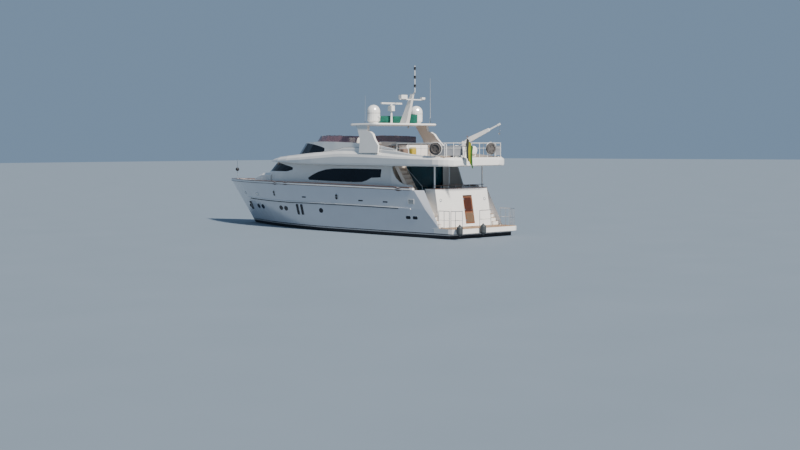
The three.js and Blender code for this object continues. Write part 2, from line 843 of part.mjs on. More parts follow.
// A wall whose foot and top follow two rows of points round the front.
function wall(foot, top, thickness) {
  const [footIn, topIn] = [inward(foot, thickness), inward(top, thickness)];
  const rings = [foot, top, topIn, footIn].map(bothSides);
  return loft(rings[0].map((_, i) => rings.map((ring) => ring[i])));
}

// The coaming's foot starts inside the deck and is cut back to its surface.
const footRows = COAMING_FOOT.map(([x, y]) => [x, y, along(MOULDING_TOP, x) - 255]);

// Window band in the coaming, rows of [x, z]
const FLY_WINDOW = [
  [-1060, 5590],
  [-1110, 5640],
  [-1110, 5810],
  [-1060, 5860],
  [-400, 5990],
  [360, 6110],
  [1500, 6190],
  [5000, 6205],
  [5000, 5000],
  [3000, 5000],
  [0, 5300],
];
const deckTop = deckBody.translate([0, 0, GAP]);
const coaming = cut(wall(footRows, COAMING_TOP, COAMING_T), deckBody, deckTop);

// Tinted wind screen on a shelf inside the coaming's front; rows are its foot
const SCREEN_ROW = [
  [-4450, 2865, 6155],
  [-2300, 2832, 6240],
  [-1000, 2742, 6262],
  [0, 2440, 6225],
  [750, 2040, 6225],
  [1350, 1480, 6225],
  [1780, 780, 6225],
  [1950, 0, 6225],
];
const SCREEN = { high: 480, rake: 170, t: 16 };
const SHELF = { from: -1000, z: [6150, 6235], lap: 60, edge: 110 };

function shelf() {
  const slab = (rows, z) => upright(bothSides(rows).map(([x, y]) => [x, y]), z[0], z[1]);
  const outer = slab(inward(COAMING_TOP, SHELF.lap), SHELF.z);
  const well = slab(inward(SCREEN_ROW, SHELF.edge), [SHELF.z[0] - 50, SHELF.z[1] + 50]);
  return outer.intersect(deckBox([SHELF.from, LONG], [-WIDE, WIDE], [0, 9000])).subtract(well);
}
const coamingSolid = largest(cut(join(coaming, shelf()), across(FLY_WINDOW, -WIDE, WIDE)));
piece("flybridge_coaming", coamingSolid, GELCOAT);
const flyPane = wall(inward(footRows, 20), inward(COAMING_TOP, 20), 40);
const flyGlass = flyPane.intersect(across(inset(FLY_WINDOW, GAP), -WIDE, WIDE));
piece("flybridge_glass", largest(cut(flyGlass, deckBody, deckTop)), GLASS);

const screenTop = inward(SCREEN_ROW, SCREEN.rake).map(([x, y, z]) => [x - SCREEN.rake, y, z + SCREEN.high]);
const aroundCoaming = [[0, 0, GAP], [-GAP, 0, 0], [0, GAP, 0], [0, -GAP, 0]].map((off) => coamingSolid.translate(off));
piece("wind_screen", largest(cut(wall(SCREEN_ROW, screenTop, SCREEN.t), ...aroundCoaming)), TINT);

// Helm console and settee on the flybridge
const CONSOLE = [
  [1500, BOAT_DECK_Z + GAP],
  [400, BOAT_DECK_Z + GAP],
  [250, 6050],
  [700, 6500],
  [1350, 6300],
];
piece("helm_console", across(CONSOLE, -1100, 1100), CANVAS);
piece(
  "helm_seat",
  join(
    box([-1150, -500], [-700, 700], [5600, 5900]),
    box([-1250, -1050], [-700, 700], [5600, 6600]),
    box([-1000, -700], [-200, 200], [BOAT_DECK_Z + GAP, 5610]),
  ),
  CANVAS,
);
piece("settee_base", box([-5200, -2000], [-2500, -1750], [BOAT_DECK_Z + GAP, 5560]), GELCOAT);
piece("settee_cushion", box([-5180, -2020], [-2480, -1760], [5560 + GAP, 5700]), CUSHION);

// Radar arch: a broad top on two raked legs that lean inboard
const ARCH_TOP = { x: [-6700, -3760], half: 2950, corner: 420 };

function rounded(x, half, r, steps = 4) {
  const port = [];
  for (const [cx, from] of [
    [x[0] + r, Math.PI],
    [x[1] - r, Math.PI / 2],
  ]) {
    for (let i = 0; i <= steps; i++) {
      const a = from - (i / steps) * (Math.PI / 2);
      port.push([cx + r * Math.cos(a), half - r + r * Math.sin(a)]);
    }
  }
  return mirrored(port);
}

function archPlan(by, z) {
  const { x, half, corner } = ARCH_TOP;
  return rounded([x[0] + by, x[1] - by], half - by, corner - by).map((p) => [...p, z]);
}
const archLoops = [archPlan(60, ARCH_Z), archPlan(0, ARCH_Z + 70), archPlan(40, ARCH_Z + ARCH_T)];
piece("arch_top", loft(archLoops), GELCOAT);

function archLeg(side) {
  const loop = (rows, y0, y1) => rows.map(([x, z]) => [x, side * (y0 + ((z - 5990) / 1360) * (y1 - y0)), z]);
  const outline = [
    [-5190, 5500],
    [-7130, 5500],
    [-7080, 5990],
    [-6620, 6420],
    [-6350, 6780],
    [-6050, 6930],
    [-5770, 7000],
    [-5700, ARCH_Z - GAP],
    [-4640, ARCH_Z - GAP],
    [-5130, 6400],
  ];
  const leg = loft([loop(outline, 3110, 2880), loop(outline, 2985, 2640)]);
  return largest(cut(leg, deckBody, deckTop));
}

// The legs stand on the deck's rim outside the coaming, a hair above it
piece("arch_leg_port", archLeg(1), GELCOAT);
piece("arch_leg_stbd", archLeg(-1), GELCOAT);

// Satellite domes, radar and mast on the arch
const ARCH_DECK = ARCH_Z + ARCH_T + GAP;

const DOME = { r: 458, side: 810 };

function dome(y) {
  const rows = [
    [0, ARCH_DECK],
    [330, ARCH_DECK],
    [340, ARCH_DECK + 90],
    [445, ARCH_DECK + 170],
    [DOME.r, ARCH_DECK + DOME.side],
  ];
  for (let i = 1; i <= 5; i++) {
    const a = (i / 6) * (Math.PI / 2);
    rows.push([DOME.r * Math.cos(a), ARCH_DECK + DOME.side + DOME.r * Math.sin(a)]);
  }
  rows.push([0, ARCH_DECK + DOME.side + DOME.r]);
  return turned(rows, -5380, y, 20);
}

piece("dome_port", dome(2000), GELCOAT);
piece("dome_stbd", dome(-2000), GELCOAT);

const RADAR = { x: -5150, y: 150, z: 8860 };
piece(
  "radar_pedestal",
  join(
    rod([RADAR.x, RADAR.y, ARCH_DECK], [RADAR.x, RADAR.y, 8400], 90, 12, 60),
    box([RADAR.x - 190, RADAR.x + 190], [RADAR.y - 150, RADAR.y + 150], [8390, 8760]),
    rod([RADAR.x, RADAR.y, 8750], [RADAR.x, RADAR.y, RADAR.z - GAP], 70, 12),
  ),
  GELCOAT,
);
const bar = piece("radar_bar", box([-75, 75], [-950, 950], [0, 110]), GELCOAT);
bar.position.set(RADAR.x, RADAR.y, RADAR.z);

function mast() {
  const column = loft([
    [
      [-6650, 160, ARCH_DECK],
      [-6050, 200, ARCH_DECK],
      [-6050, -200, ARCH_DECK],
      [-6650, -160, ARCH_DECK],
    ],
    [
      [-7250, 70, 9500],
      [-7020, 80, 9500],
      [-7020, -80, 9500],
      [-7250, -70, 9500],
    ],
  ]);
  const lights = [10050, 10640, 11230].map((z) => rod([-7390, 0, z - 70], [-7390, 0, z + 70], 70, 10));
  return join(
    column,
    box([-7130, -7050], [-1150, 1150], [9090, 9160]),
    box([-7200, -6980], [-1150, -850], [9150, 9290]),
    box([-7230, -6930], [550, 1100], [9150, 9420]),
    rod([-7130, 0, 9400], [-7390, 0, 9640], 40),
    rod([-7390, 0, 9600], [-7390, 0, 11420], 26),
    ...lights,
  );
}
piece("mast", mast(), GELCOAT);

piece("whip_antenna", rod([-6250, -2550, ARCH_DECK], [-6250, -2550, 10700], 26, 6, 10), GELCOAT);

// Covered gear on the arch, between the domes
piece(
  "arch_cover_long",
  loft(
    [
      [-1400, 150, 110],
      [-1200, 330, 370],
      [-500, 380, 530],
      [600, 380, 500],
      [1150, 300, 360],
      [1400, 120, 110],
    ].map(([y, w, h]) => [
      [-4550 - w, y, ARCH_DECK],
      [-4550 - w, y, ARCH_DECK + h * 0.6],
      [-4550 - w * 0.5, y, ARCH_DECK + h],
      [-4550 + w * 0.5, y, ARCH_DECK + h],
      [-4550 + w, y, ARCH_DECK + h * 0.6],
      [-4550 + w, y, ARCH_DECK],
    ]),
  ),
  GREEN,
);
const ROUND_COVER = [
  [0, ARCH_DECK],
  [430, ARCH_DECK],
  [460, ARCH_DECK + 280],
  [340, ARCH_DECK + 520],
  [0, ARCH_DECK + 620],
];
piece("arch_cover_round", turned(ROUND_COVER, -6050, -900, 14), GREEN);

// Boat deck rail, one piece from the coaming round the stern
const RAIL_TOP = 6120;
const RAIL_R = 22;
const STANCHION_R = 19;
const RAIL_ROW = [
  [-8750, 2930],
  [-9900, 2930],
  [-11060, 2930],
  [-12250, 2850],
  [-12900, 2600],
  [-13300, 2200],
  [-13450, 1500],
  [-13480, 750],
];

function boatRail() {
  const plan = bothSides([...RAIL_ROW, [-13480, 0]]).map(([x, y]) => [x, y, RAIL_TOP]);
  const parts = [pipe(plan, RAIL_R, 8), pipe(plan.map(([x, y]) => [x, y, RAIL_TOP - 330]), 12)];
  for (const [x, y] of plan) {
    const footZ = (x < RIM_AFT_X ? BOAT_DECK_Z : along(MOULDING_TOP, x)) - 5;
    parts.push(rod([x, y, footZ], [x, y, RAIL_TOP + 3], STANCHION_R, 8));
  }
  return join(...parts);
}
const railSolid = seat(boatRail(), boatDeckSolid);
piece("boat_rail", railSolid, CHROME);

// Crane on the boat deck: column, boom and hook
const CRANE = { x: -11500, y: -600, pivotZ: 6130, turn: 3.65, lift: 0.47, cheekY: 115 };
const craneDeck = BOAT_DECK_Z + GAP;

function craneColumn() {
  const { x, y, turn, cheekY } = CRANE;
  const cheek = (side) => box([-120, 120], [side * cheekY - 25, side * cheekY + 25], [5940, 6260]);
  const fork = join(cheek(1), cheek(-1)).rotate([0, 0, THREE.MathUtils.radToDeg(turn)]).translate([x, y, 0]);
  const post = rod([x, y, craneDeck], [x, y, 5980], 165, 14);
  const foot = rod([x, y, craneDeck], [x, y, craneDeck + 60], 240, 14);
  return join(post, foot, fork);
}
piece("crane_column", craneColumn(), GELCOAT);

// The boom lies along +X of a group that is turned and lifted
const slewed = new THREE.Group();
slewed.position.set(CRANE.x, CRANE.y, CRANE.pivotZ);
slewed.rotation.set(0, -CRANE.lift, CRANE.turn, "ZYX");
yacht.add(slewed);

const BOOM = 2700;
const boomShape = join(
  loft([
    [
      [-80, 60, -70],
      [-80, 60, 70],
      [-80, -60, 70],
      [-80, -60, -70],
    ],
    [
      [500, 85, -130],
      [500, 85, 200],
      [500, -85, 200],
      [500, -85, -130],
    ],
    [
      [1900, 75, -95],
      [1900, 75, 115],
      [1900, -75, 115],
      [1900, -75, -95],
    ],
    [
      [1980, 40, -50],
      [1980, 40, 50],
      [1980, -40, 50],
      [1980, -40, -50],
    ],
    [
      [BOOM - 120, 35, -45],
      [BOOM - 120, 35, 45],
      [BOOM - 120, -35, 45],
      [BOOM - 120, -35, -45],
    ],
  ]),
  rod([0, -90 + GAP, 0], [0, 90 - GAP, 0], 75, 14),
  box([BOOM - 160, BOOM + 60], [-47, -25 - GAP], [-60, 60]),
  box([BOOM - 160, BOOM + 60], [25 + GAP, 47], [-60, 60]),
);
const boom = piece("crane_boom", boomShape, GELCOAT);
slewed.add(boom);

// The hook hangs plumb under the boom's end
const hookSwing = new THREE.Group();
hookSwing.position.set(BOOM, 0, 0);
hookSwing.rotation.y = CRANE.lift;
slewed.add(hookSwing);
const hook = piece(
  "crane_hook",
  join(
    rod([0, -25, 0], [0, 25, 0], 50, 12),
    rod([0, 0, 0], [0, 0, -560], 14, 6),
    solid(new THREE.SphereGeometry(75, 10, 6).translate(0, 0, -600)),
    rod([0, 0, -640], [0, 0, -740], 22, 6),
  ),
  CHROME,
);
hookSwing.add(hook);

// Covered lifebuoys on the rail's outer side: a stretch of the rail, a share along it and the boat's side
const LIFEBUOY = { r: 385, t: 130, z: 5760 };
for (const [name, i, share, side] of [
  ["lifebuoy_port", 3, 0.1, 1],
  ["lifebuoy_stbd", 6, 0.72, -1],
]) {
  const [x, y] = lerp(RAIL_ROW[i], RAIL_ROW[i + 1], share);
  const [dx, dy] = [0, 1].map((k) => RAIL_ROW[i + 1][k] - RAIL_ROW[i][k]);
  const run = Math.hypot(dx, dy);
  const out = [dy / run, (-dx / run) * side];
  const ring = new THREE.CylinderGeometry(LIFEBUOY.r, LIFEBUOY.r, LIFEBUOY.t, 20);
  ring.translate(0, RAIL_R + GAP + LIFEBUOY.t / 2, 0);
  ring.rotateZ(Math.atan2(-out[0], out[1])).translate(x, y * side, LIFEBUOY.z);
  piece(name, seat(solid(ring), railSolid, [GAP * out[0], GAP * out[1], 0]), CANVAS);
}
piece("deck_locker", box([-13250, -12800], [900, 2000], [BOAT_DECK_Z + GAP, 5980]), GELCOAT);

// After deck: pillars, wing walls and the stair to the boat deck
const CAP_BOARD_T = 45;
for (const [name, s] of [["pillar_port", 1], ["pillar_stbd", -1]]) {
  const [foot, head] = [TRANSOM_TOP[1] + CAP_BOARD_T + GAP, HOUSE_TOP_Z - GAP];
  piece(name, rod([-11590, s * 2220, foot], [-11590, s * 2220, head], 55, 12), GELCOAT);
}

// The port wall sweeps down in a hollow curve beside the stair; the other leans straight.
const WING_EDGE_PORT = [
  [-10050, 2250],
  [-10050, 3360],
  [-9740, 3380],
  [-9200, 3430],
  [-8780, 3590],
  [-8440, 3830],
  [-8180, 4180],
  [-8060, 4510],
];
const WING_EDGE_STBD = [
  [-9760, 2250],
  [-8770, HOUSE_TOP_Z - GAP],
];
for (const [name, s, edge] of [["wing_wall_port", 1, WING_EDGE_PORT], ["wing_wall_stbd", -1, WING_EDGE_STBD]]) {
  const outline = [[HOUSE_AFT_X - 80, 2250], ...edge, [HOUSE_AFT_X - 80, HOUSE_TOP_Z - GAP]];
  const plate = across(outline, s > 0 ? 2705 : -2765, s > 0 ? 2765 : -2705);
  piece(name, seat(plate, topsides), GELCOAT);
}

const STEPS = { count: 9, footX: -10150, headX: -8050, y: [1980, 2640] };
function flybridgeStair() {
  const rise = (BOAT_DECK_Z - 2340) / (STEPS.count + 1);
  const run = (STEPS.headX - STEPS.footX) / STEPS.count;
  const parts = [];
  for (let i = 0; i < STEPS.count; i++) {
    const [x, z] = [STEPS.footX + run * i, 2340 + rise * (i + 1)];
    parts.push(box([x, x + run + 60], STEPS.y, [z - 45, z]));
  }
  const stringer = (y0, y1) =>
    across(
      [
        [STEPS.footX - 60, 2300],
        [STEPS.footX + 260, 2300],
        [STEPS.headX + 200, BOAT_DECK_Z - 60],
        [STEPS.headX - 140, BOAT_DECK_Z - 60],
      ],
      y0,
      y1,
    );
  const landingX = [STEPS.headX - 60, STAIR_HATCH.x[1] - GAP];
  const landing = box(landingX, STEPS.y, [BOAT_DECK_Z - 105, BOAT_DECK_Z - 60]);
  const [inner, outer] = STEPS.y;
  return join(...parts, landing, stringer(inner - 30, inner + 12), stringer(outer - 12, outer + 30));
}
piece("flybridge_stair", seat(flybridgeStair(), topsides), TEAK);

// Transom block with its bench, the stern stairs beside it and the crew door in it
const RAKE = Math.atan2(TRANSOM_TOP[0] - TRANSOM_FOOT[0], TRANSOM_TOP[1] - TRANSOM_FOOT[1]);

function transom() {
  const profile = [
    [-10500 - GAP, PLATFORM_Z + GAP],
    TRANSOM_FOOT.map((v, i) => v + (i ? GAP : 0)),
    TRANSOM_TOP,
    [-11330, TRANSOM_TOP[1]],
    [-11330, 2800],
    [-10900, 2780],
    [-10900, 2330],
    [-10500 - GAP, 2330],
  ];
  const wings = (s) =>
    across(
      [
        [-10900, 2300],
        [-11830, 2300],
        [-11830, TRANSOM_TOP[1]],
        [-10900, TRANSOM_TOP[1]],
      ],
      s > 0 ? TRANSOM_HALF - 120 : -TRANSOM_HALF,
      s > 0 ? TRANSOM_HALF : -TRANSOM_HALF + 120,
    );
  const stair = (s) => {
    const rows = [
      [-10500 - GAP, PLATFORM_Z + GAP],
      [-12440, PLATFORM_Z + GAP],
    ];
    const [count, top] = [7, -11000];
    const run = (top + 12440) / (count - 1);
    const rise = (2330 - PLATFORM_Z) / count;
    for (let i = 1; i < count; i++) {
      rows.push([-12440 + run * (i - 1), PLATFORM_Z + rise * i], [-12440 + run * i, PLATFORM_Z + rise * i]);
    }
    rows.push([top, 2330], [-10500 - GAP, 2330]);
    const y = [s * (TRANSOM_HALF - 1), s * (STAIR_HALF - GAP)].sort((a, b) => a - b);
    return across(rows, ...y);
  };
  const doorway = across(
    [
      [-13000, 820],
      [-13000, 2700],
      [-11420, 2700],
      [-11420, 820],
    ],
    CREW_DOOR.y[0] - CLEAR,
    CREW_DOOR.y[1] + GAP,
  );
  const block = across(profile, -TRANSOM_HALF, TRANSOM_HALF);
  return cut(join(block, wings(1), wings(-1), stair(1), stair(-1)), doorway);
}

const CREW_DOOR = { y: [-870, -20], low: 820, high: 2700, t: 45 };
piece("transom", transom(), GELCOAT);

const capZ = [TRANSOM_TOP[1] + GAP, TRANSOM_TOP[1] + CAP_BOARD_T];
piece("transom_cap", box([TRANSOM_TOP[0] - 40, -11290], [-TRANSOM_HALF - 10, TRANSOM_HALF + 10], capZ), TEAK);

const doorway = new THREE.Group();
doorway.position.set(TRANSOM_FOOT[0], 0, TRANSOM_FOOT[1]);
doorway.rotation.y = RAKE;
yacht.add(doorway);
const rakeZ = (z) => (z - TRANSOM_FOOT[1]) / Math.cos(RAKE);
const door = piece(
  "crew_door",
  box([0.5, CREW_DOOR.t], CREW_DOOR.y, [rakeZ(CREW_DOOR.low) + 18, rakeZ(CREW_DOOR.high) - 18]),
  VARNISH,
);
doorway.add(door);

// Gates at the head of the stern stairs, each on a round post beside the transom
const GATE = { x: -10950, postR: 16, barHalf: 10, low: 2400, high: 3100 };
for (const [name, s] of [["gate_port", 1], ["gate_stbd", -1]]) {
  const { x, postR, barHalf, low, high } = GATE;
  const pivotY = TRANSOM_HALF + GAP + postR;
  const y = [s * pivotY, s * (STAIR_HALF - CLEAR - 10)].sort((a, b) => a - b);
  const bar = (y0, y1, z0, z1, half) => box([x - half, x + half], [y0, y1], [z0, z1]);
  const free = s > 0 ? y[1] : y[0];
  const stile = (middle, half) => bar(middle - 18, middle + 18, low + 5, high - 5, half);
  const frame = join(
    rod([x, s * pivotY, low], [x, s * pivotY, high], postR, 16),
    bar(y[0] + 4, y[1] - 4, high - 45, high - 8, barHalf - 1),
    bar(y[0] + 4, y[1] - 4, low + 8, low + 45, barHalf - 1),
    stile(free - s * 18, barHalf),
    stile((y[0] + y[1]) / 2, barHalf - 2),
  );
  piece(name, frame, CHROME);
}

// Swim platform with its rails
const PLATFORM_RAIL_X = -14090;

function platform() {
  const slab = upright(
    mirrored([
      [PLATFORM_FWD_X, PLATFORM_HALF - 60],
      [-13650, PLATFORM_HALF],
      [-13930, PLATFORM_HALF - 60],
      [-14120, PLATFORM_HALF - 190],
      [PLATFORM_AFT_X, PLATFORM_HALF - 420],
    ]),
    PLATFORM_Z - PLATFORM_T + GAP,
    PLATFORM_Z,
  );
  const parts = [slab];
  const sideRows = (s) => [
    [[-12650, s * 2890], [-13130, s * 2890], [-13600, s * 2890]],
    [[-13740, s * 2885], [-14020, s * 2755], [PLATFORM_RAIL_X, s * 2200]],
  ];
  const rails = [...sideRows(1), ...sideRows(-1), [[PLATFORM_RAIL_X, 620], [PLATFORM_RAIL_X, -430]]];
  const [foot, top] = [PLATFORM_Z - 20, 1790];
  for (const row of rails) {
    parts.push(pipe(row.map(([x, y]) => [x, y, top]), 22, 8));
    parts.push(pipe(row.map(([x, y]) => [x, y, (foot + top) / 2]), 12));
    for (const [x, y] of row) parts.push(rod([x, y, foot], [x, y, top + 3], STANCHION_R, 8));
  }
  return join(...parts);
}
piece("platform", platform(), TEAK);

// Fenders hung from the platform's stanchions
const FENDER = { x: -14410, low: 200, eye: 1010, lineZ: 1250 };
const FENDER_ROWS = [
  [0, 200],
  [90, 215],
  [190, 330],
  [200, 520],
  [150, 760],
  [60, 930],
  [40, FENDER.eye],
  [0, FENDER.eye + 10],
];
for (const [name, y, postX] of [["fender_port", 2755, -14020], ["fender_mid", 620, PLATFORM_RAIL_X]]) {
  const end = postX - STANCHION_R - GAP;
  const line = join(
    rod([FENDER.x, y, FENDER.eye - 10], [FENDER.x, y, FENDER.lineZ + 10], 10, 6),
    rod([FENDER.x, y, FENDER.lineZ], [end, y, FENDER.lineZ], 10, 6),
  );
  piece(name, join(turned(FENDER_ROWS, FENDER.x, y, 14), line), RUBBER);
}

// Ensign on its staff at the port quarter of the boat deck, hanging limp
const STAFF = { foot: [-13550, 1555, 5020], head: [-13980, 1640, 6520] };
piece("ensign_staff", seat(rod(STAFF.foot, STAFF.head, 20, 8, 14), boatDeckSolid), VARNISH);
const flag = loft([
  [
    [-13960, 1560, 6450],
    [-13950, 1690, 6450],
    [-14040, 1760, 6450],
    [-14080, 1640, 6450],
  ],
  [
    [-14040, 1400, 5600],
    [-13950, 1640, 5600],
    [-14070, 1830, 5600],
    [-14160, 1600, 5600],
  ],
  [
    [-14020, 1500, 4480],
    [-13970, 1640, 4480],
    [-14060, 1760, 4480],
    [-14130, 1630, 4480],
  ],
]);
piece("ensign", largest(cut(flag, rod(STAFF.foot, STAFF.head, 20 + GAP, 8, 14 + GAP))), FLAG);

// Jackstaff at the stem, with the black anchor ball
const JACKSTAFF = { x: 13560, ballZ: 4160, top: 4980 };
const pole = rod([JACKSTAFF.x, 0, 3200], [JACKSTAFF.x, 0, JACKSTAFF.top], 22, 8, 14);
const ball = solid(new THREE.SphereGeometry(150, 14, 8).translate(JACKSTAFF.x, 0, JACKSTAFF.ballZ));
piece("jackstaff", seat(join(pole, ball), topsides), CHROME);

export default yacht;
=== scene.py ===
from math import copysign, cos, hypot, pi, radians, sin

import bmesh
import bpy
from mathutils import Matrix, Vector
from mathutils.bvhtree import BVHTree
from mathutils.noise import noise


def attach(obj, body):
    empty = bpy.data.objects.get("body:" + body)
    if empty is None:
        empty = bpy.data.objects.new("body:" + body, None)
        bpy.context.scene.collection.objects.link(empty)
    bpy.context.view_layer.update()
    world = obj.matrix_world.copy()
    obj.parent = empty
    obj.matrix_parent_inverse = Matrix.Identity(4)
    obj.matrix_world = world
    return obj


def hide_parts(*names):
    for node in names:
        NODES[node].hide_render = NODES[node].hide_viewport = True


# A motor yacht, dressed round its CAD bodies, in metres: X to the bow, Y to port, Z up from the water.
# Where a piece is made for each side, s is 1 for port and -1 for starboard.

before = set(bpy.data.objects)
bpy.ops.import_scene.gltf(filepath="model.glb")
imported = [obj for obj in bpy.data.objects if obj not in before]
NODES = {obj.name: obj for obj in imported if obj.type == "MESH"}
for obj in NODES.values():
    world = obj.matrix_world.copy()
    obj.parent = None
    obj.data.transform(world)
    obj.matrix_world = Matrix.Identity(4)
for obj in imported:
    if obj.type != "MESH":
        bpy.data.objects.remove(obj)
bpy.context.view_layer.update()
UP = Vector((0, 0, 1))
BOAT_DECK = 5.2
ARCH_TOP = 7.51
SUNK = -0.004
TEAK_THICK = 0.018


def link(o):
    bpy.context.scene.collection.objects.link(o)
    return o


# Camera: where the photograph was taken from

HEADING = radians(47.43)
PITCH = radians(3.51)
ROLL = 0.00403
LENS = 56.39
CAMERA_AT = Vector((-69.94, 58.89, 5.81))

right = Vector((-cos(HEADING), -sin(HEADING), 0))
ahead = Vector((sin(HEADING), -cos(HEADING), 0))
forward = (ahead * cos(PITCH) - UP * sin(PITCH)).normalized()
up = right.cross(forward)
right, up = right * cos(ROLL) - up * sin(ROLL), up * cos(ROLL) + right * sin(ROLL)
cam_data = bpy.data.cameras.new("camera")
cam_data.sensor_width = 36
cam_data.lens = LENS
cam_data.clip_end = 1000
cam = link(bpy.data.objects.new("camera", cam_data))
cam.matrix_world = Matrix((
    (right.x, up.x, -forward.x, CAMERA_AT.x),
    (right.y, up.y, -forward.y, CAMERA_AT.y),
    (right.z, up.z, -forward.z, CAMERA_AT.z),
    (0, 0, 0, 1),
))
bpy.context.scene.camera = cam


# Materials

def new_material(name):
    m = bpy.data.materials.new(name)
    m.use_nodes = True
    return m


def shader_of(m):
    return m.node_tree.nodes["Principled BSDF"]


def feed(m, node, values):
    """Fills a node's inputs, each with a value or with a link from another node's output."""
    for key, value in values.items():
        if isinstance(value, bpy.types.NodeSocket):
            m.node_tree.links.new(value, node.inputs[key])
        else:
            node.inputs[key].default_value = value


def add(m, kind, output, values=None, **settings):
    """Adds a shader node with its settings and inputs, and gives one of its outputs."""
    node = m.node_tree.nodes.new("ShaderNode" + kind)
    for key, value in settings.items():
        setattr(node, key, value)
    feed(m, node, values or {})
    return node.outputs[output]


def maths(m, operation, *values):
    return add(m, "Math", 0, dict(enumerate(values)), operation=operation)


def ramp(m, factor, base, *ends):
    """A colour that runs between two shades of a base, each given as (position, brightness)."""
    color = add(m, "ValToRGB", "Color", {"Fac": factor})
    for element, (position, bright) in zip(color.node.color_ramp.elements, ends):
        element.position = position
        element.color = (*[min(1, c * bright) for c in base], 1)
    return color


def covered(m, factor, under, color):
    """A flat colour laid over another where the factor is 1; 6, 7 and 2 are the node's colour sockets."""
    return add(m, "Mix", 2, {"Factor": factor, 6: under, 7: (*color, 1)}, data_type="RGBA")


def embossed(m, height, strength, distance):
    bumps = add(m, "Bump", "Normal", {"Height": height, "Strength": strength, "Distance": distance})
    feed(m, shader_of(m), {"Normal": bumps})


def surface(name, base, rough=0.4, metal=0.0, vary=0.06, grain=3.0, bump=0.02, fine=60.0, coat=0.0,
            stretch=(1, 1, 1)):
    """A material whose colour, roughness and surface wander with noise in the object's own space."""
    m = new_material(name)
    place = add(m, "Mapping", 0, {"Vector": add(m, "TexCoord", "Object"), "Scale": stretch})
    big = add(m, "TexNoise", "Fac", {"Vector": place, "Scale": grain, "Detail": 5})
    small = add(m, "TexNoise", "Fac", {"Vector": place, "Scale": fine, "Detail": 3})
    polish = {"Value": big, "To Min": max(0.02, rough - 0.06), "To Max": min(1, rough + 0.06)}
    feed(m, shader_of(m), {
        "Base Color": ramp(m, big, base, (0.3, 1 - vary), (0.7, 1 + vary)),
        "Roughness": add(m, "MapRange", "Result", polish),
        "Metallic": metal,
        "Coat Weight": coat,
        "Coat Roughness": 0.08,
    })
    embossed(m, small, min(1, bump * 10), bump * 0.02)
    return m


def bands(m, rows):
    """Lays colour bands by height over a material: rows of (from z, to z, colour)."""
    under = shader_of(m).inputs["Base Color"].links[0].from_socket
    height = add(m, "SeparateXYZ", "Z", {"Vector": add(m, "TexCoord", "Object")})
    for low, high, color in rows:
        above, below = maths(m, "GREATER_THAN", height, low), maths(m, "LESS_THAN", height, high)
        under = covered(m, maths(m, "MULTIPLY", above, below), under, color)
    feed(m, shader_of(m), {"Base Color": under})
    return m


def planks(name, base, seam, width=0.06):
    """Laid teak: planks along the boat with dark caulking between them."""
    m = new_material(name)
    place = add(m, "TexCoord", "Object")
    across = maths(m, "DIVIDE", add(m, "SeparateXYZ", "Y", {"Vector": place}), width)
    caulk = maths(m, "LESS_THAN", maths(m, "FRACT", across), 0.1)
    tone = add(m, "TexWhiteNoise", "Value", {"W": maths(m, "FLOOR", across)}, noise_dimensions="1D")
    along = add(m, "Mapping", 0, {"Vector": place, "Scale": (3, 40, 40)})
    grain = add(m, "TexNoise", "Fac", {"Vector": along, "Scale": 2.0, "Detail": 6})
    total = maths(m, "MULTIPLY_ADD", tone, 0.45, grain)
    wood = ramp(m, total, base, (0.3, 0.72), (1.0, 1.2))
    feed(m, shader_of(m), {"Base Color": covered(m, caulk, wood, seam), "Roughness": 0.62})
    embossed(m, total, 0.3, 0.002)
    return m


def weave(name, base, vary=0.12, sheen=0.3, threads=260.0):
    """Woven cloth: two crossed waves give the threads, noise the fading."""
    m = surface(name, base, 0.9, vary=vary, grain=2.2, bump=0.03, fine=threads)
    lines = {"Vector": add(m, "TexCoord", "Object"), "Scale": threads / 3, "Distortion": 1.5}
    waves = [add(m, "TexWave", "Fac", lines, bands_direction=way) for way in ("X", "Z")]
    embossed(m, maths(m, "ADD", *waves), 0.4, 0.002)
    feed(m, shader_of(m), {"Sheen Weight": sheen})
    return m


def pane(name, base, alpha=1.0, rough=0.05):
    """Dark glass: near black with a faint wander of tint, and glossy."""
    m = surface(name, base, rough, vary=0.25, grain=0.5, bump=0.0)
    feed(m, shader_of(m), {"Alpha": alpha, "Specular IOR Level": 0.22})
    return m


GLOSS = dict(rough=0.24, grain=0.7, bump=0.003, fine=20, coat=0.5)
GELCOAT = surface("gelcoat", (0.80, 0.785, 0.75), vary=0.03, **GLOSS)
# A lighter copy of the gelcoat: painted sunlight on the hull's aft-facing wing faces and painted glints on
# the bow eyes; also the stair locker door.
BRIGHT = surface("bright_gelcoat_and_painted_light", (0.92, 0.905, 0.88), vary=0.02, **GLOSS)
# The hull's gelcoat is a darker, bluer copy of the white gelcoat: painted shade over the whole hull. Its
# bands are the light boot line and the dark boot stripe.
SHADED_HULL = bands(
    surface("hull_gelcoat_painted_shade", (0.62, 0.635, 0.67), 0.22, vary=0.03, grain=0.6, bump=0.003, fine=18, coat=0.6),
    [(0.0, 0.285, (0.5, 0.47, 0.46)), (0.285, 0.34, (0.03, 0.032, 0.04))],
)
BEIGE = surface("beige_gelcoat", (0.66, 0.56, 0.46), 0.4, vary=0.05, grain=3, bump=0.004)
ANTIFOUL = surface("antifouling", (0.018, 0.019, 0.024), 0.7, vary=0.3, grain=2.5, bump=0.02)
PAINT = surface("white_paint", (0.77, 0.76, 0.73), 0.35, vary=0.04, grain=2, bump=0.004)
WHITE = surface("white_enamel", (0.82, 0.81, 0.78), 0.3, vary=0.03, grain=3)
BLACK = surface("black_rubber", (0.012, 0.012, 0.013), 0.5, vary=0.2, grain=8)
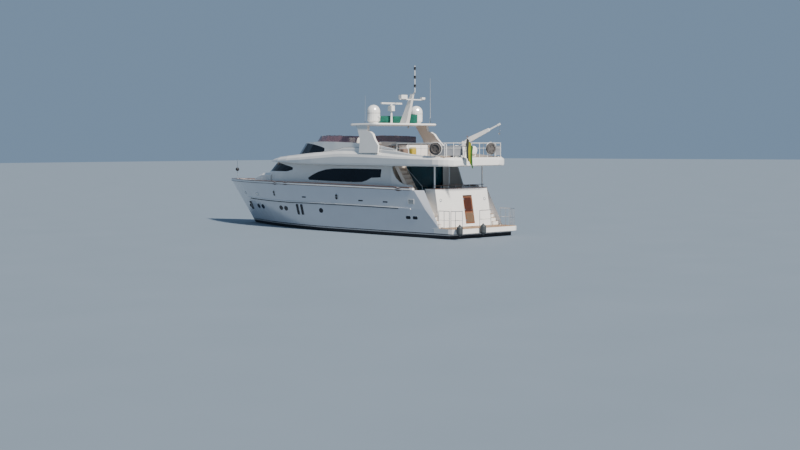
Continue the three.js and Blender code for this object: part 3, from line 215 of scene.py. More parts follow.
# Near black: painted shade inside the scuppers, hawse pipes, vent and anchor pocket, under the rub rail and
# along the coaming's foot; also dark trim such as the lifebuoy straps and hem.
SHADE_AND_DARK_TRIM = surface("painted_shade_and_dark_trim", (0.02, 0.022, 0.026), 0.6, vary=0.2, grain=5)
BEAD = surface("brown_bead", (0.10, 0.06, 0.05), 0.5, vary=0.3, grain=9)
BALL = surface("anchor_ball", (0.012, 0.012, 0.014), 0.5, vary=0.2, grain=6, bump=0.01)
WHIP = surface("whip_fibre", (0.34, 0.37, 0.40), 0.5, vary=0.03, grain=4, bump=0.0)
STEEL = surface("stainless", (0.62, 0.63, 0.64), 0.18, metal=1.0, vary=0.05, grain=8, bump=0.002)
BRONZE = surface("bronze", (0.42, 0.27, 0.11), 0.35, metal=1.0, vary=0.25, grain=9, bump=0.01)
IRON = surface("galvanised", (0.35, 0.36, 0.37), 0.45, metal=1.0, vary=0.15, grain=9, bump=0.02)
GLASS = pane("dark_glass", (0.006, 0.010, 0.018))
AFT_GLASS = pane("aft_glass", (0.012, 0.10, 0.14), alpha=0.72)
TINT = pane("tinted_screen", (0.21, 0.13, 0.16), alpha=0.68, rough=0.12)

UPRIGHT = dict(grain=7, bump=0.01, stretch=(5, 5, 0.5))
TEAK = planks("teak_planks", (0.36, 0.22, 0.12), (0.02, 0.018, 0.016))
CAPWOOD = surface("varnished_cap", (0.14, 0.065, 0.04), 0.28, vary=0.3, grain=6, bump=0.01, coat=0.8,
                  stretch=(0.3, 5, 5))
VARNISH = surface("varnished_door", (0.20, 0.08, 0.035), 0.3, vary=0.35, coat=0.8, **UPRIGHT)
DOOR_WOOD = surface("door_varnish", (0.055, 0.014, 0.004), 0.35, vary=0.35, coat=0.25, **UPRIGHT)
DOOR_TAN = surface("door_tan", (0.14, 0.088, 0.05), 0.4, vary=0.2, coat=0.3, **UPRIGHT)
TABLE_WOOD = surface("table_top", (0.22, 0.10, 0.05), 0.25, vary=0.3, grain=5, bump=0.006, coat=0.9,
                     stretch=(5, 0.6, 5))

CUSHION = surface("upholstery", (0.62, 0.58, 0.52), 0.55, vary=0.06, grain=4, bump=0.03, fine=220)
LEATHER = surface("helm_leather", (0.70, 0.67, 0.62), 0.42, vary=0.06, grain=4, bump=0.03, fine=150)
DASH = surface("helm_dash", (0.05, 0.05, 0.055), 0.5, vary=0.2, grain=8, bump=0.01)
RUBBER = surface("fender_rubber", (0.045, 0.052, 0.056), 0.55, vary=0.2, grain=6, bump=0.02)
CANVAS = weave("dark_canvas", (0.075, 0.06, 0.06), vary=0.25)
GREEN = weave("green_canvas", (0.003, 0.10, 0.068), vary=0.3, sheen=0.05)
TEAL = weave("teal_curtain", (0.03, 0.30, 0.36), vary=0.2)
LIGHT_CLOTH = weave("white_canvas", (0.66, 0.64, 0.60), vary=0.05)
MESH_CLOTH = weave("grey_mesh_cloth", (0.22, 0.23, 0.25), vary=0.1, sheen=0.05)
COVER = weave("buoy_cover", (0.085, 0.075, 0.07), vary=0.3)
YELLOW = weave("yellow_cover", (0.50, 0.36, 0.02), vary=0.2)
BROWN = weave("brown_cover", (0.20, 0.13, 0.10), vary=0.25)
FLAG_DARK = weave("flag_dark", (0.015, 0.02, 0.016), vary=0.2)
FLAG = weave("flag_cloth", (0.26, 0.25, 0.006), vary=0.25, sheen=0.0)
FLAG_GREEN = weave("flag_green", (0.03, 0.10, 0.012), vary=0.2, sheen=0.0)
FLOOR = surface("floor", (0.19, 0.235, 0.285), 0.75, vary=0.02, grain=0.2, bump=0.0)

LOOKS = {}
for look, names in (
    (SHADED_HULL, "hull"),
    (ANTIFOUL, "hull_bottom rudder_port rudder_stbd"),
    (BRONZE, "propeller_port propeller_stbd"),
    (GLASS, "saloon_glass_port saloon_glass_stbd windshield flybridge_glass"),
    (AFT_GLASS, "saloon_bulkhead saloon_door_port saloon_door_stbd"),
    (TINT, "wind_screen"),
    (CANVAS, "helm_console helm_seat"),
    (CUSHION, "settee_cushion"),
    (GREEN, "arch_cover_long arch_cover_round"),
    (PAINT, "boat_rail radar_pedestal mast crane_column crane_boom"),
    (STEEL, "crane_hook gate_port gate_stbd jackstaff"),
    (COVER, "lifebuoy_port lifebuoy_stbd"),
    (BEIGE, "flybridge_stair"),
    (CAPWOOD, "transom_cap"),
    (VARNISH, "crew_door ensign_staff"),
    (RUBBER, "fender_port fender_mid"),
    (FLAG, "ensign"),
    (WHIP, "whip_antenna"),
):
    LOOKS.update(dict.fromkeys(names.split(), look))
for name, node in NODES.items():
    node.data.materials.clear()
    node.data.materials.append(LOOKS.get(name, GELCOAT))
    node.data.shade_smooth()
    node.data.set_sharp_from_angle(angle=radians(28))


def recolour(node, look, wanted):
    """Some faces of a CAD piece in a second material, chosen by place and slant."""
    mesh, place = NODES[node].data, NODES[node].matrix_world
    mesh.materials.append(look)
    for face in mesh.polygons:
        if wanted(place @ face.center, (place.to_3x3() @ face.normal).normalized()):
            face.material_index = len(mesh.materials) - 1


recolour("platform", STEEL, lambda c, n: c.z > 0.72)
recolour("jackstaff", BALL, lambda c, n: 3.98 < c.z < 4.34)
recolour("saloon_bulkhead", GELCOAT, lambda c, n: abs(n.y) > 0.7 and abs(c.y) > 2.5)
# Painted sunlight: the hull's faces aft of x -9.9 that face aft take the lighter gelcoat.
recolour("hull", BRIGHT, lambda c, n: c.x < -9.9 and c.z > 0.5 and n.x < -0.45)


# Shapes

def riding(name, mesh, body):
    o = link(bpy.data.objects.new(name, mesh))
    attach(o, body)
    return o


def made(name, verts, faces, look, body="yacht", sharp=30):
    mesh = bpy.data.meshes.new(name)
    mesh.from_pydata([tuple(v) for v in verts], [], faces)
    bm = bmesh.new()
    bm.from_mesh(mesh)
    bmesh.ops.recalc_face_normals(bm, faces=bm.faces)
    bm.to_mesh(mesh)
    bm.free()
    mesh.materials.append(look)
    mesh.shade_smooth()
    mesh.set_sharp_from_angle(angle=radians(sharp))
    return riding(name, mesh, body)


def skin(n, last):
    """The faces between rings of n points, up to the ring that starts at a point's number."""
    steps = [(i, (i + 1) % n) for i in range(n)]
    return [(k + i, k + j, k + n + j, k + n + i) for k in range(0, last, n) for i, j in steps]


def lofted(name, rings, look, body="yacht", sharp=30):
    """A closed skin over a run of equal rings, with a face on the first and the last."""
    n = len(rings[0])
    last = n * (len(rings) - 1)
    faces = skin(n, last) + [list(range(n)), list(range(last, last + n))]
    return made(name, [v for ring in rings for v in ring], faces, look, body, sharp)


def block(x, y, z):
    """A box about the origin, with its sides and the place of its middle."""
    bm = bmesh.new()
    bmesh.ops.create_cube(bm, size=1)
    sides = Vector([b - a for a, b in (x, y, z)])
    for v in bm.verts:
        v.co = Vector([v.co[i] * sides[i] for i in range(3)])
    return bm, sides, Vector([(a + b) / 2 for a, b in (x, y, z)])


def settled(name, bm, place, look, body="yacht", sharp=30):
    """The finished piece of a block, moved to its place."""
    bmesh.ops.transform(bm, matrix=place, verts=bm.verts)
    verts = [v.co.copy() for v in bm.verts]
    faces = [[v.index for v in f.verts] for f in bm.faces]
    bm.free()
    return made(name, verts, faces, look, body, sharp)


def slab(name, x, y, z, look, body="yacht", round_by=0.02, lean=0.0, at=None):
    """A block with rounded edges between two corners, or at a point of its own, leant about its middle."""
    bm, sides, middle = block(x, y, z)
    by = min(round_by, min(sides) * 0.45)
    bmesh.ops.bevel(bm, geom=bm.edges[:], offset=by, segments=2, profile=0.6, affect="EDGES")
    place = Matrix.Translation(at or middle) @ Matrix.Rotation(lean, 4, "Y")
    return settled(name, bm, place, look, body)


def cushion(name, x, y, z, look=CUSHION, lean=0.0, round_by=0.05, bulge=0.025):
    """A stuffed pad: rounded block whose faces swell between the seams."""
    bm, sides, middle = block(x, y, z)
    bmesh.ops.subdivide_edges(bm, edges=bm.edges[:], cuts=5, use_grid_fill=True)
    half = sides / 2
    by = min(round_by, min(half) * 0.8)
    thin = min(range(3), key=lambda i: half[i])
    first, second = [i for i in range(3) if i != thin]
    for v in bm.verts:
        core = Vector([max(-half[i] + by, min(half[i] - by, v.co[i])) for i in range(3)])
        away = v.co - core
        if away.length > 1e-6:
            v.co = core + away.normalized() * by
        rise = [max(0.0, 1 - (abs(v.co[i]) / half[i]) ** 2) for i in range(3)]
        swell = bulge * rise[first] ** 0.5 * rise[second] ** 0.5
        v.co[thin] += (1 if v.co[thin] > 0 else -1) * swell * (abs(v.co[thin]) / half[thin])
        v.co += UP * 0.006 * noise(v.co * 6 + Vector((len(name), 0, 0)))
    place = Matrix.Translation(middle) @ Matrix.Rotation(lean, 4, "Y")
    o = settled(name, bm, place, look, sharp=60)
    return o


def swept(name, points, section, look, body="yacht", level=False, sharp=30):
    """A bar of a section of (side, up) along a run of points, kept level or carried without twist."""
    points = [Vector(p) for p in points]
    last = len(points) - 1
    ways = [(points[min(last, i + 1)] - points[max(0, i - 1)]).normalized() for i in range(last + 1)]
    side = ways[0].cross(UP)
    if side.length < 0.1:
        side = ways[0].cross(Vector((1, 0, 0)))
    rings = []
    for p, way in zip(points, ways):
        side = (way.cross(UP) if level else side - way * side.dot(way)).normalized()
        high = UP if level else side.cross(way)
        rings.append([p + side * u + high * v for u, v in section])
    return lofted(name, rings, look, body, sharp)


def circle(r, n=8):
    return [(r * cos(2 * pi * i / n), r * sin(2 * pi * i / n)) for i in range(n)]


def tube(name, points, r, look, body="yacht", sides=8):
    return swept(name, points, circle(r, sides), look, body, sharp=60)


TO_AXIS = {
    "X": Matrix.Rotation(pi / 2, 4, "Y"),
    "Y": Matrix.Rotation(-pi / 2, 4, "X"),
    "Z": Matrix(),
}


def turned(name, rows, at, look, body="yacht", sides=20, axis="Z"):
    """A turned piece: rows of (radius, height) about an axis through a point."""
    place = Matrix.Translation(Vector(at)) @ TO_AXIS[axis]
    rings = [[place @ Vector((u, v, h)) for u, v in circle(max(r, 1e-4), sides)] for r, h in rows]
    return lofted(name, rings, look, body, 35)


def torus(name, radius, r, at, look, body="yacht", axis="X", steps=36, sides=10):
    """A closed ring of round bar about an axis through a point."""
    place = Matrix.Translation(Vector(at)) @ TO_AXIS[axis]
    loop = circle(radius, steps)
    return tube(name, [place @ Vector((*p, 0)) for p in loop + loop[:1]], r, look, body, sides)


def rounded(w, h, r):
    """A rounded rectangle about the origin."""
    out = []
    for cx, cy, start in ((1, 1, 0), (-1, 1, 90), (-1, -1, 180), (1, -1, 270)):
        for i in range(5):
            a = radians(start + 90 * i / 4)
            out.append((cx * (w / 2 - r) + r * cos(a), cy * (h / 2 - r) + r * sin(a)))
    return out


def oval(a, b):
    return [(a * u, b * v) for u, v in circle(1, 24)]


def spread(a, b, n):
    return [a + (b - a) * i / n for i in range(n + 1)]


def both(make):
    """Runs a function for each side, where it is written."""
    for s, word in ((1, "port"), (-1, "stbd")):
        make(s, word)
    return make


# Where lines meet the CAD nodes, so that pieces sit on them

TREES = {}


def met(node, start, way):
    if node not in TREES:
        o = NODES[node]
        verts = [o.matrix_world @ v.co for v in o.data.vertices]
        TREES[node] = BVHTree.FromPolygons(verts, [tuple(p.vertices) for p in o.data.polygons])
    return TREES[node].ray_cast(Vector(start), Vector(way))[0]


def side_of(node, x, z, s, inside=False):
    """Where a level line from the side, or from the centreline, meets a node."""
    return met(node, (x, 0, z), (0, s, 0)) if inside else met(node, (x, 9 * s, z), (0, -s, 0))


def top_of(node, x, y, z=14.0):
    return met(node, (x, y, z), (0, 0, -1))


def aft_of(node, y, z, off=0.0):
    return met(node, (-15.5, y, z), (1, 0, 0)) - Vector((off, 0, 0))


def level_of(node, x, y, z=3.0):
    hit = top_of(node, x, y, z)
    return hit.z if hit else None


def on_hull(x, z, s):
    """Puts an outline about x, z on the hull's side, standing off it."""
    return lambda u, v, off: side_of("hull", x + u, z + v, s) + Vector((0, s * off, 0))


def on_stern(node, y, z):
    """Puts an outline about y, z on a node's after face, standing off it."""
    return lambda u, v, off: aft_of(node, y + u, z + v, off)


def plate(name, outline, put, look, off, body="yacht"):
    """A thin plate of an outline, laid by an on_ function."""
    n = len(outline)
    verts = [put(u, v, depth) for depth in (off, SUNK) for u, v in outline]
    faces = skin(n, n) + [list(range(n)), list(range(n, 2 * n))]
    return made(name, verts, faces, look, body, 35)


def rim(name, outline, put, width, look, off, outer=0.8):
    """A frame round an outline; its outer edge stands off by a part of what its inner edge does."""
    n = len(outline)
    grow = [1 + width / hypot(u, v) for u, v in outline]
    big = [(u * g, v * g) for (u, v), g in zip(outline, grow)]
    loops = ((outline, off), (big, off * outer), (big, SUNK), (outline, SUNK))
    verts = [put(u, v, depth) for loop, depth in loops for u, v in loop]
    faces = []
    for k in range(4):
        a, b = k * n, (k + 1) % 4 * n
        faces += [(a + i, a + (i + 1) % n, b + (i + 1) % n, b + i) for i in range(n)]
    return made(name, verts, faces, look, sharp=35)


# Hull trim: cap rail in wood, its bead, portholes, hawse pipes, vents and the rub rail's line

def cap_top(x):
    """Height of the cap rail's middle at a station, from the CAD rail."""
    for y in (3.28, 3.22, 3.1, 2.9, 2.6, 2.2, 1.8, 1.4, 1.0, 0.6, 0.3, 0.1):
        z = level_of("cap_rail", x, y, 4.6)
        if z:
            return z
    return 3.4


@both
def cap_wood(s, word):
    hits = [side_of("cap_rail", x, cap_top(x) - 0.06, s) for x in spread(-11.0, 14.2, 70)]
    board = [(-0.006, -0.03), (0.21, 0.0), (0.215, 0.02), (0.2, 0.045), (0.01, 0.05), (-0.009, 0.03)]
    bead = [(0.0, -0.04), (0.022, -0.034), (0.022, 0.034), (0.0, 0.04)]
    for kind, drop, section, look in (("board", 0.004, board, CAPWOOD), ("bead", 0.137, bead, BEAD)):
        run = [(p.x, p.y, cap_top(p.x) - drop) for p in hits if p]
        swept(f"cap_{kind}_{word}", run, [(s * u, v) for u, v in section], look, level=True)


def leaning(by):
    """The outline of a slim window whose head leans forward."""
    return [(u + by * v / 0.8, v) for u, v in rounded(0.32, 0.76, 0.09)]


# Each row: names of the pane and its rim, look, how far each stands off, the rim's width, (x, z, outline)
OPENINGS = (
    ("porthole", "porthole_rim", GLASS, 0.012, 0.014, 0.022, [
        (8.55, 1.42, oval(0.31, 0.17)), (7.62, 1.42, oval(0.31, 0.17)), (4.3, 1.45, oval(0.28, 0.17)),
        (3.55, 1.43, oval(0.28, 0.17)), (-1.05, 1.44, oval(0.24, 0.17))]),
    ("slim_window", "slim_rim", GLASS, 0.022, 0.026, 0.02, [
        (1.85, 1.42, leaning(0.07)), (1.28, 1.42, leaning(0.05))]),
    ("stern_window", "stern_rim", GLASS, 0.006, 0.018, 0.03, [
        (x, 1.275, rounded(0.44, 0.2, 0.09)) for x in (-10.02, -10.66)]),
    # Scuppers and hawse pipes: their panes are near black, painted shade inside the openings.
    ("scupper", "scupper_rim", SHADE_AND_DARK_TRIM, 0.006, 0.014, 0.018, [
        (x, z, rounded(0.46, 0.09, 0.04)) for x, z in ((0.85, 2.34), (-5.42, 2.26), (-7.9, 2.24))]),
    ("hawse", "hawse_rim", SHADE_AND_DARK_TRIM, 0.006, 0.03, 0.05, [
        (x, z, rounded(0.26, 0.36, 0.12)) for x, z in ((4.9, 2.5), (-2.9, 2.45))]),
    # The bow eyes' panes are lighter gelcoat: painted glints.
    ("bow_eye_glint", "bow_eye_rim", BRIGHT, 0.012, 0.035, 0.07, [
        (x, 2.36, rounded(0.30, 0.14, 0.06)) for x in (10.95, 8.05)]),
)


@both
def hull_openings(s, word):
    for pane_name, rim_name, look, off, rim_off, width, rows in OPENINGS:
        for i, (x, z, outline) in enumerate(rows):
            put = on_hull(x, z, s)
            plate(f"{pane_name}_{word}_{i}", outline, put, look, off)
            rim(f"{rim_name}_{word}_{i}", outline, put, width, STEEL, rim_off)
            if pane_name == "hawse":
                ends = [put(-0.12, 0, 0.02), put(0.12, 0, 0.02)]
                swept(f"hawse_bar_{word}_{i}", ends, circle(0.022), STEEL)
    vent, x = rounded(0.5, 0.3, 0.03), -10.35
    rim(f"vent_rim_{word}", vent, on_hull(x, 2.32, s), 0.03, WHITE, 0.016)
    # The vent's back plate is near black: painted shade behind the blades.
    plate(f"vent_back_{word}", vent, on_hull(x, 2.32, s), SHADE_AND_DARK_TRIM, 0.004)
    blade = rounded(0.48, 0.028, 0.01)
    for k in range(5):
        plate(f"vent_blade_{word}_{k}", blade, on_hull(x, 2.20 + 0.06 * k, s), WHITE, 0.014)


def crest(x, s):
    """The rub rail's crest: where the side stands out most from a straight run."""
    reach = [side_of("hull", x, 1.70 + 0.02 * k, s) for k in range(32)]
    best = None
    for k in range(5, 27):
        if reach[k] and reach[k - 5] and reach[k + 5]:
            stand = abs(reach[k].y) - (abs(reach[k - 5].y) + abs(reach[k + 5].y)) / 2
            if best is None or stand > best[0]:
                best = (stand, reach[k])
    return best[1] if best else None


@both
def rub_strip(s, word):
    raw = [q for q in [crest(x, s) for x in spread(11.0, -10.2, 60)] if q]
    run = []
    for i in range(3, len(raw) - 3):
        z = sum(q.z for q in raw[i - 3:i + 4]) / 7
        hit = side_of("hull", raw[i].x, z, s)
        if hit:
            run.append(hit + UP * 0.004)
    strip = [(-0.02, -0.02), (0.007, -0.014), (0.007, 0.022), (-0.02, 0.03)]
    # The near-black band under the rub rail is a painted shadow.
    shadow_band = [(-0.08, -0.02), (0.004, -0.02), (0.004, 0.03), (-0.08, 0.03)]
    for kind, drop, section, look in (("strip", 0.0, strip, WHITE), ("shadow", 0.06, shadow_band, SHADE_AND_DARK_TRIM)):
        line = [q - UP * drop for q in run]
        swept(f"rub_{kind}_{word}", line, [(s * u, v) for u, v in section], look, level=True)


# Decks: laid teak where feet go

def bulwark(x, s, height=2.85):
    hit = side_of("hull", x, height, s, inside=True)
    return abs(hit.y) - 0.015 if hit and abs(hit.y) > 0.2 else None


def sheer_deck(x):
    """Height of the side deck and foredeck at a station."""
    return level_of("hull", x, 2.7 if x < 4 else max(0.1, (bulwark(x, 1) or 1) - 0.55)) or 2.45


def at_deck(x, s):
    return s * (bulwark(x, s, sheer_deck(x) + 0.04) or 0.0)


def beside_house(x, s):
    hit = side_of("house", x, 2.7, s)
    return s * (min(2.655, abs(hit.y) + 0.012) if hit else 2.655)


def coaming_inside(x, s):
    hit = side_of("flybridge_coaming", x, 5.62, s, inside=True)
    return s * (abs(hit.y) - 0.02 if hit else 2.6)


def laid(name, rows):
    """A teak deck: rows of (x, y of one edge, y of the other, z), left out where it is too narrow."""
    rings = []
    for x, a, b, z in rows:
        if abs(b - a) >= 0.05:
            low, high = z - 0.01, z + TEAK_THICK
            rings.append([(x, a, low), (x, b, low), (x, b, high), (x, a, high)])
    return lofted(name, rings, TEAK)


@both
def side_deck(s, word):
    outer = [(x, at_deck(x, s), sheer_deck(x)) for x in spread(-8.9, 6.9, 40)]
    laid(f"side_deck_{word}", [(x, beside_house(x, s), y, z) for x, y, z in outer])
    laid(f"fore_deck_{word}", [(x, s * 0.003, at_deck(x, s), sheer_deck(x)) for x in spread(7.38, 12.9, 24)])


platform_z = level_of("platform", -13.2, 0.2) or 0.62
laid("aft_deck", [(x, -2.68, 2.68, 2.342) for x in (-10.86, -7.95)])
laid("platform_deck", [(x, -y, y, platform_z) for x, y in ((-14.12, 2.8), (-13.9, 2.95), (-12.36, 2.95))])
corners = ((-13.2, 2.4), (-12.9, 2.7), (-12.4, 2.7), (-9.32, 2.7))
laid("boat_deck_aft", [(x, -y, y, BOAT_DECK) for x, y in corners])
laid("boat_deck_mid", [(x, -2.66, 1.88, BOAT_DECK) for x in (-9.32, -7.68)])
sole = spread(-7.68, 1.9, 12)
laid("flybridge_sole", [(x, coaming_inside(x, -1), coaming_inside(x, 1), BOAT_DECK) for x in sole])


@both
def stern_steps(s, word):
    for i in range(7):
        x = -12.44 + 0.2057 * (i + 0.5)
        z = level_of("transom", x, s * 2.68)
        if z and z < 2.45:
            across = sorted((s * 2.46, s * 2.9))
            slab(f"stern_tread_{word}_{i}", (x - 0.085, x + 0.09), across, (z - 0.01, z + TEAK_THICK), TEAK)


# Transom: door, lights and fittings

DOOR = "crew_door"
for part, size, y, z, look, off in (
    ("upper", (0.66, 0.92, 0.04), -0.42, 2.08, DOOR_WOOD, 0.012),
    ("lower", (0.66, 0.62, 0.04), -0.46, 1.22, DOOR_TAN, 0.012),
    ("head", (0.80, 0.05, 0.02), -0.445, 2.64, BLACK, 0.014),
):
    plate(f"door_{part}", rounded(*size), on_stern(DOOR, y, z), look, off, DOOR)
KNOB = [(0.03, 0.0), (0.03, -0.01), (0.012, -0.015), (0.012, -0.05), (0.03, -0.055), (0.03, -0.075),
        (0.02, -0.085)]
turned("door_knob", KNOB, aft_of(DOOR, -0.78, 1.72), STEEL, DOOR, 14, "X")
for z in (1.05, 1.75, 2.45):
    x = aft_of(DOOR, -0.07, z).x
    edges = (x - 0.02, x + 0.01), (-0.12, -0.03), (z - 0.05, z + 0.05)
    slab(f"door_hinge_{int(z * 100)}", *edges, STEEL, DOOR, round_by=0.004)

RAIL_X = -11.60
rail_z = level_of("transom_cap", RAIL_X, 0.5, 14.0) or 3.19
HANDRAIL = [(-0.045, -0.016), (0.045, -0.016), (0.05, 0.0), (0.035, 0.018), (-0.035, 0.018), (-0.05, 0.0)]
POST = [(0.03, 0.0), (0.03, 0.008), (0.013, 0.014), (0.013, 0.15), (0.02, 0.158)]
swept("aft_rail", [(RAIL_X, y, rail_z + 0.17) for y in spread(-2.36, 2.36, 12)], HANDRAIL, CAPWOOD)
for i, y in enumerate(spread(-2.3, 2.3, 7)):
    turned(f"aft_rail_post_{i}", POST, (RAIL_X, y, rail_z - 0.002), STEEL, sides=12)


@both
def transom_side(s, word):
    light = on_stern("transom", s * 2.05, 2.42)
    rim(f"transom_light_rim_{word}", circle(0.07, 16), light, 0.03, STEEL, 0.02, 1)
    plate(f"transom_light_{word}", circle(0.07, 16), light, WHITE, 0.012)
    hatch, panel = on_stern("transom", s * 1.45, 1.55), on_stern("transom", s * 1.45, 2.62)
    rim(f"transom_hatch_rim_{word}", rounded(0.55, 0.62, 0.08), hatch, 0.02, GELCOAT, 0.01, 1)
    rim(f"transom_panel_{word}", rounded(0.36, 0.12, 0.03), panel, 0.012, GELCOAT, 0.008, 1)


def cleat(name, at, turn=0.0, size=0.34):
    """A horned cleat on two feet, made for a size of 0.34 and scaled from it."""
    x, y, z = at
    c, d = cos(turn) * size, sin(turn) * size
    tall = size / 0.34
    horn = [(-0.5, 0.11), (-0.42, 0.095), (-0.2, 0.085), (0.2, 0.085), (0.42, 0.095), (0.5, 0.11)]
    tube(name, [(x + c * u, y + d * u, z + v * tall) for u, v in horn], size * 0.055, STEEL)
    foot = [(size * 0.12, 0), (size * 0.09, 0.012), (size * 0.06, 0.03), (size * 0.055, 0.085 * tall)]
    for letter, u in (("a", -0.16), ("b", 0.16)):
        turned(f"{name}_foot_{letter}", foot, (x + c * u, y + d * u, z), STEEL, sides=12)


@both
def cleats(s, word):
    for i, x in enumerate((-9.6, -4.2, 2.5)):
        y = (bulwark(x, s) or 3) - 0.14
        cleat(f"deck_cleat_{word}_{i}", (x, s * y, sheer_deck(x) + TEAK_THICK))
    cleat(f"fore_cleat_{word}", (11.2, s * 0.62, sheer_deck(11.2) + TEAK_THICK), 0.4 * s)
    z = level_of("platform", -12.75, s * 2.72) or 0.62
    cleat(f"platform_cleat_{word}", (-12.75, s * 2.72, z + TEAK_THICK), size=0.26)


# Aft deck under the overhang: bench, table, chairs, curtains behind the glass, stair and lockers

for i, (a, b) in enumerate(((-1.92, -0.98), (-0.94, 0.0), (0.04, 0.98), (1.02, 1.96))):
    cushion(f"bench_pad_{i}", (-11.33, -10.88), (a, b), (2.79, 2.92))
slab("aft_table_top", (-10.42, -9.62), (-1.15, 1.15), (3.04, 3.09), TABLE_WOOD)
TABLE_LEG = [(0.2, 2.355), (0.19, 2.385), (0.06, 2.42), (0.05, 2.95), (0.14, 3.0), (0.14, 3.045)]
for letter, y in (("s", -0.65), ("p", 0.65)):
    turned(f"aft_table_leg_{letter}", TABLE_LEG, (-10.02, y, 0), STEEL)


def chair(name, x, y, z):
    """A folding chair that faces aft, in varnished bars with a canvas seat."""
    def at(u, v, w):
        return x - u, y - v, z + w

    for i, v in enumerate((-0.24, 0.24)):
        frame_run = [at(-0.22, v, 0), at(0.2, v, 0.44), at(0.23, v, 0.62), at(-0.24, v, 0.62)]
        tube(f"{name}_frame_{i}", frame_run, 0.016, VARNISH)
        tube(f"{name}_back_{i}", [at(0.22, v, 0), at(-0.2, v, 0.44), at(-0.31, v, 0.88)], 0.016, VARNISH)
    for i, (u, w) in enumerate(((-0.2, 0.43), (0.2, 0.43), (-0.31, 0.87))):
        tube(f"{name}_bar_{i}", [at(u, -0.24, w), at(u, 0.24, w)], 0.014, VARNISH)
    edges = (x - 0.22, x + 0.22), (y - 0.21, y + 0.21), (z + 0.44, z + 0.49)
    cushion(f"{name}_seat", *edges, CANVAS, round_by=0.02, bulge=0.01)


for i, y in enumerate((-0.62, 0.62)):
    chair(f"deck_chair_{i}", -9.25, y, 2.36)


def open_sheet(name, verts, faces, look):
    mesh = bpy.data.meshes.new(name)
    mesh.from_pydata([tuple(v) for v in verts], [], faces)
    mesh.materials.append(look)
    mesh.shade_smooth()
    o = riding(name, mesh, "yacht")
    return o


def spots(rows, cols):
    """How far down and how far along each point of a sheet lies, from 0 to 1."""
    return [(r / rows, c / cols) for r in range(rows + 1) for c in range(cols + 1)]


def grid(rows, cols):
    """The faces of a sheet of rows by columns."""
    corners = [r * (cols + 1) + c for r in range(rows) for c in range(cols)]
    return [(k, k + 1, k + cols + 2, k + cols + 1) for k in corners]


def curtain(name, x, y, z, width, seed):
    """Cloth hung in folds from a rail: a wavy sheet whose folds deepen downward."""
    drop, folds, rows = 2.05, 9, 16
    cols = folds * 8
    verts = []
    for t, u in spots(rows, cols):
        swing = sin(2 * pi * folds * u + seed + 0.5 * sin(3 * t + seed))
        deep = 0.035 * (0.75 + 0.25 * t) * swing + 0.012 * noise(Vector((u * 5 + seed, t * 3, 0)))
        verts.append((x - deep, y + u * width + 0.01 * sin(5 * t + u * 9), z - drop * t))
    o = open_sheet(name, verts, grid(rows, cols), TEAL)


tube("curtain_rail", [(-7.72, -2.44, 4.52), (-7.72, 2.44, 4.52)], 0.012, STEEL)
curtain("saloon_curtain_0", -7.72, 1.05, 4.5, 1.35, 0.0)
curtain("saloon_curtain_1", -7.72, -2.4, 4.5, 1.35, 1.7)

STAIR_STEP = 0.2333
treads = []
for i in range(9):
    x = -10.05 + STAIR_STEP * i
    treads.append((x, level_of("flybridge_stair", x, 2.31, 5.6)))
for i, (x, z) in enumerate(treads):
    if z:
        slab(f"stair_tread_{i}", (x - 0.1, x + 0.1), (2.02, 2.6), (z - 0.005, z + 0.016), TEAK)
for i, ((x, low), (_, high)) in enumerate(zip(treads, treads[1:])):
    if low and high and high > low:
        edges = (x + 0.112, x + 0.124), (2.0, 2.62), (low + 0.002, high - 0.03)
        slab(f"stair_riser_{i}", *edges, BEIGE, round_by=0.004)
slab("stair_bulkhead", (-8.062, -8.038), (1.95, 2.60), (2.36, 4.98), BEIGE, round_by=0.008)
slab("bulkhead_stbd", (-8.062, -8.038), (-2.60, -2.02), (2.36, 4.98), GELCOAT, round_by=0.008)
slab("stair_locker", (-8.5, -8.07), (1.90, 1.935), (2.36, 4.98), BEIGE, round_by=0.012)
slab("stair_locker_door", (-8.44, -8.12), (1.885, 1.9), (2.46, 4.2), BRIGHT, round_by=0.01)
locker_knob = [(0.02, 0), (0.02, 0.012), (0.008, 0.02)]
turned("stair_locker_knob", locker_knob, (-8.38, 1.88, 3.4), STEEL, sides=14, axis="Y")
HANDRAIL_RUN = [(-10.12, 1.93, 2.36), (-10.12, 1.93, 3.28), (-9.9, 1.93, 3.45), (-8.5, 1.93, 4.55)]
tube("stair_handrail", HANDRAIL_RUN, 0.018, STEEL)

# Boat deck: rail panels, lifebuoys, ensign, packs, raft, lights and crane

BAYS = ((-12.25, 2.85), (-12.9, 2.6), (-13.3, 2.2), (-13.45, 1.5))


def rail_panel(name, a, b, seed):
    """Cloth laced into a bay of the rail, pulled in at its eyelets."""
    low, high = 5.32, 5.95
    a, b = Vector((*a, 0)), Vector((*b, 0))
    out = Vector((-(b - a).y, (b - a).x, 0)).normalized()
    if out.dot(a) < 0:
        out = -out
    cols, rows = 18, 10
    verts = []
    for t, u in spots(rows, cols):
        sag = 0.02 * sin(pi * u) * sin(pi * t)
        tug = 0.012 * abs(sin(pi * 5 * u)) * (abs(2 * t - 1) ** 6)
        sag -= 0.006 * noise(Vector((u * 4 + seed, t * 3, seed)))
        p = a + (b - a) * (0.04 + 0.92 * u) - out * sag
        verts.append((p.x, p.y, low + (high - low) * t - (tug if t > 0.5 else -tug)))
    o = open_sheet(name, verts, grid(rows, cols), MESH_CLOTH)
    eye, axis = [(0.014, -0.004), (0.014, 0.004), (0.007, 0.004)], "Y" if abs(out.y) > abs(out.x) else "X"
    for i in range(6):
        p = a + (b - a) * (0.06 + 0.88 * i / 5)
        turned(f"{name}_eye_{i}", eye, (p.x, p.y, high - 0.03), STEEL, sides=10, axis=axis)


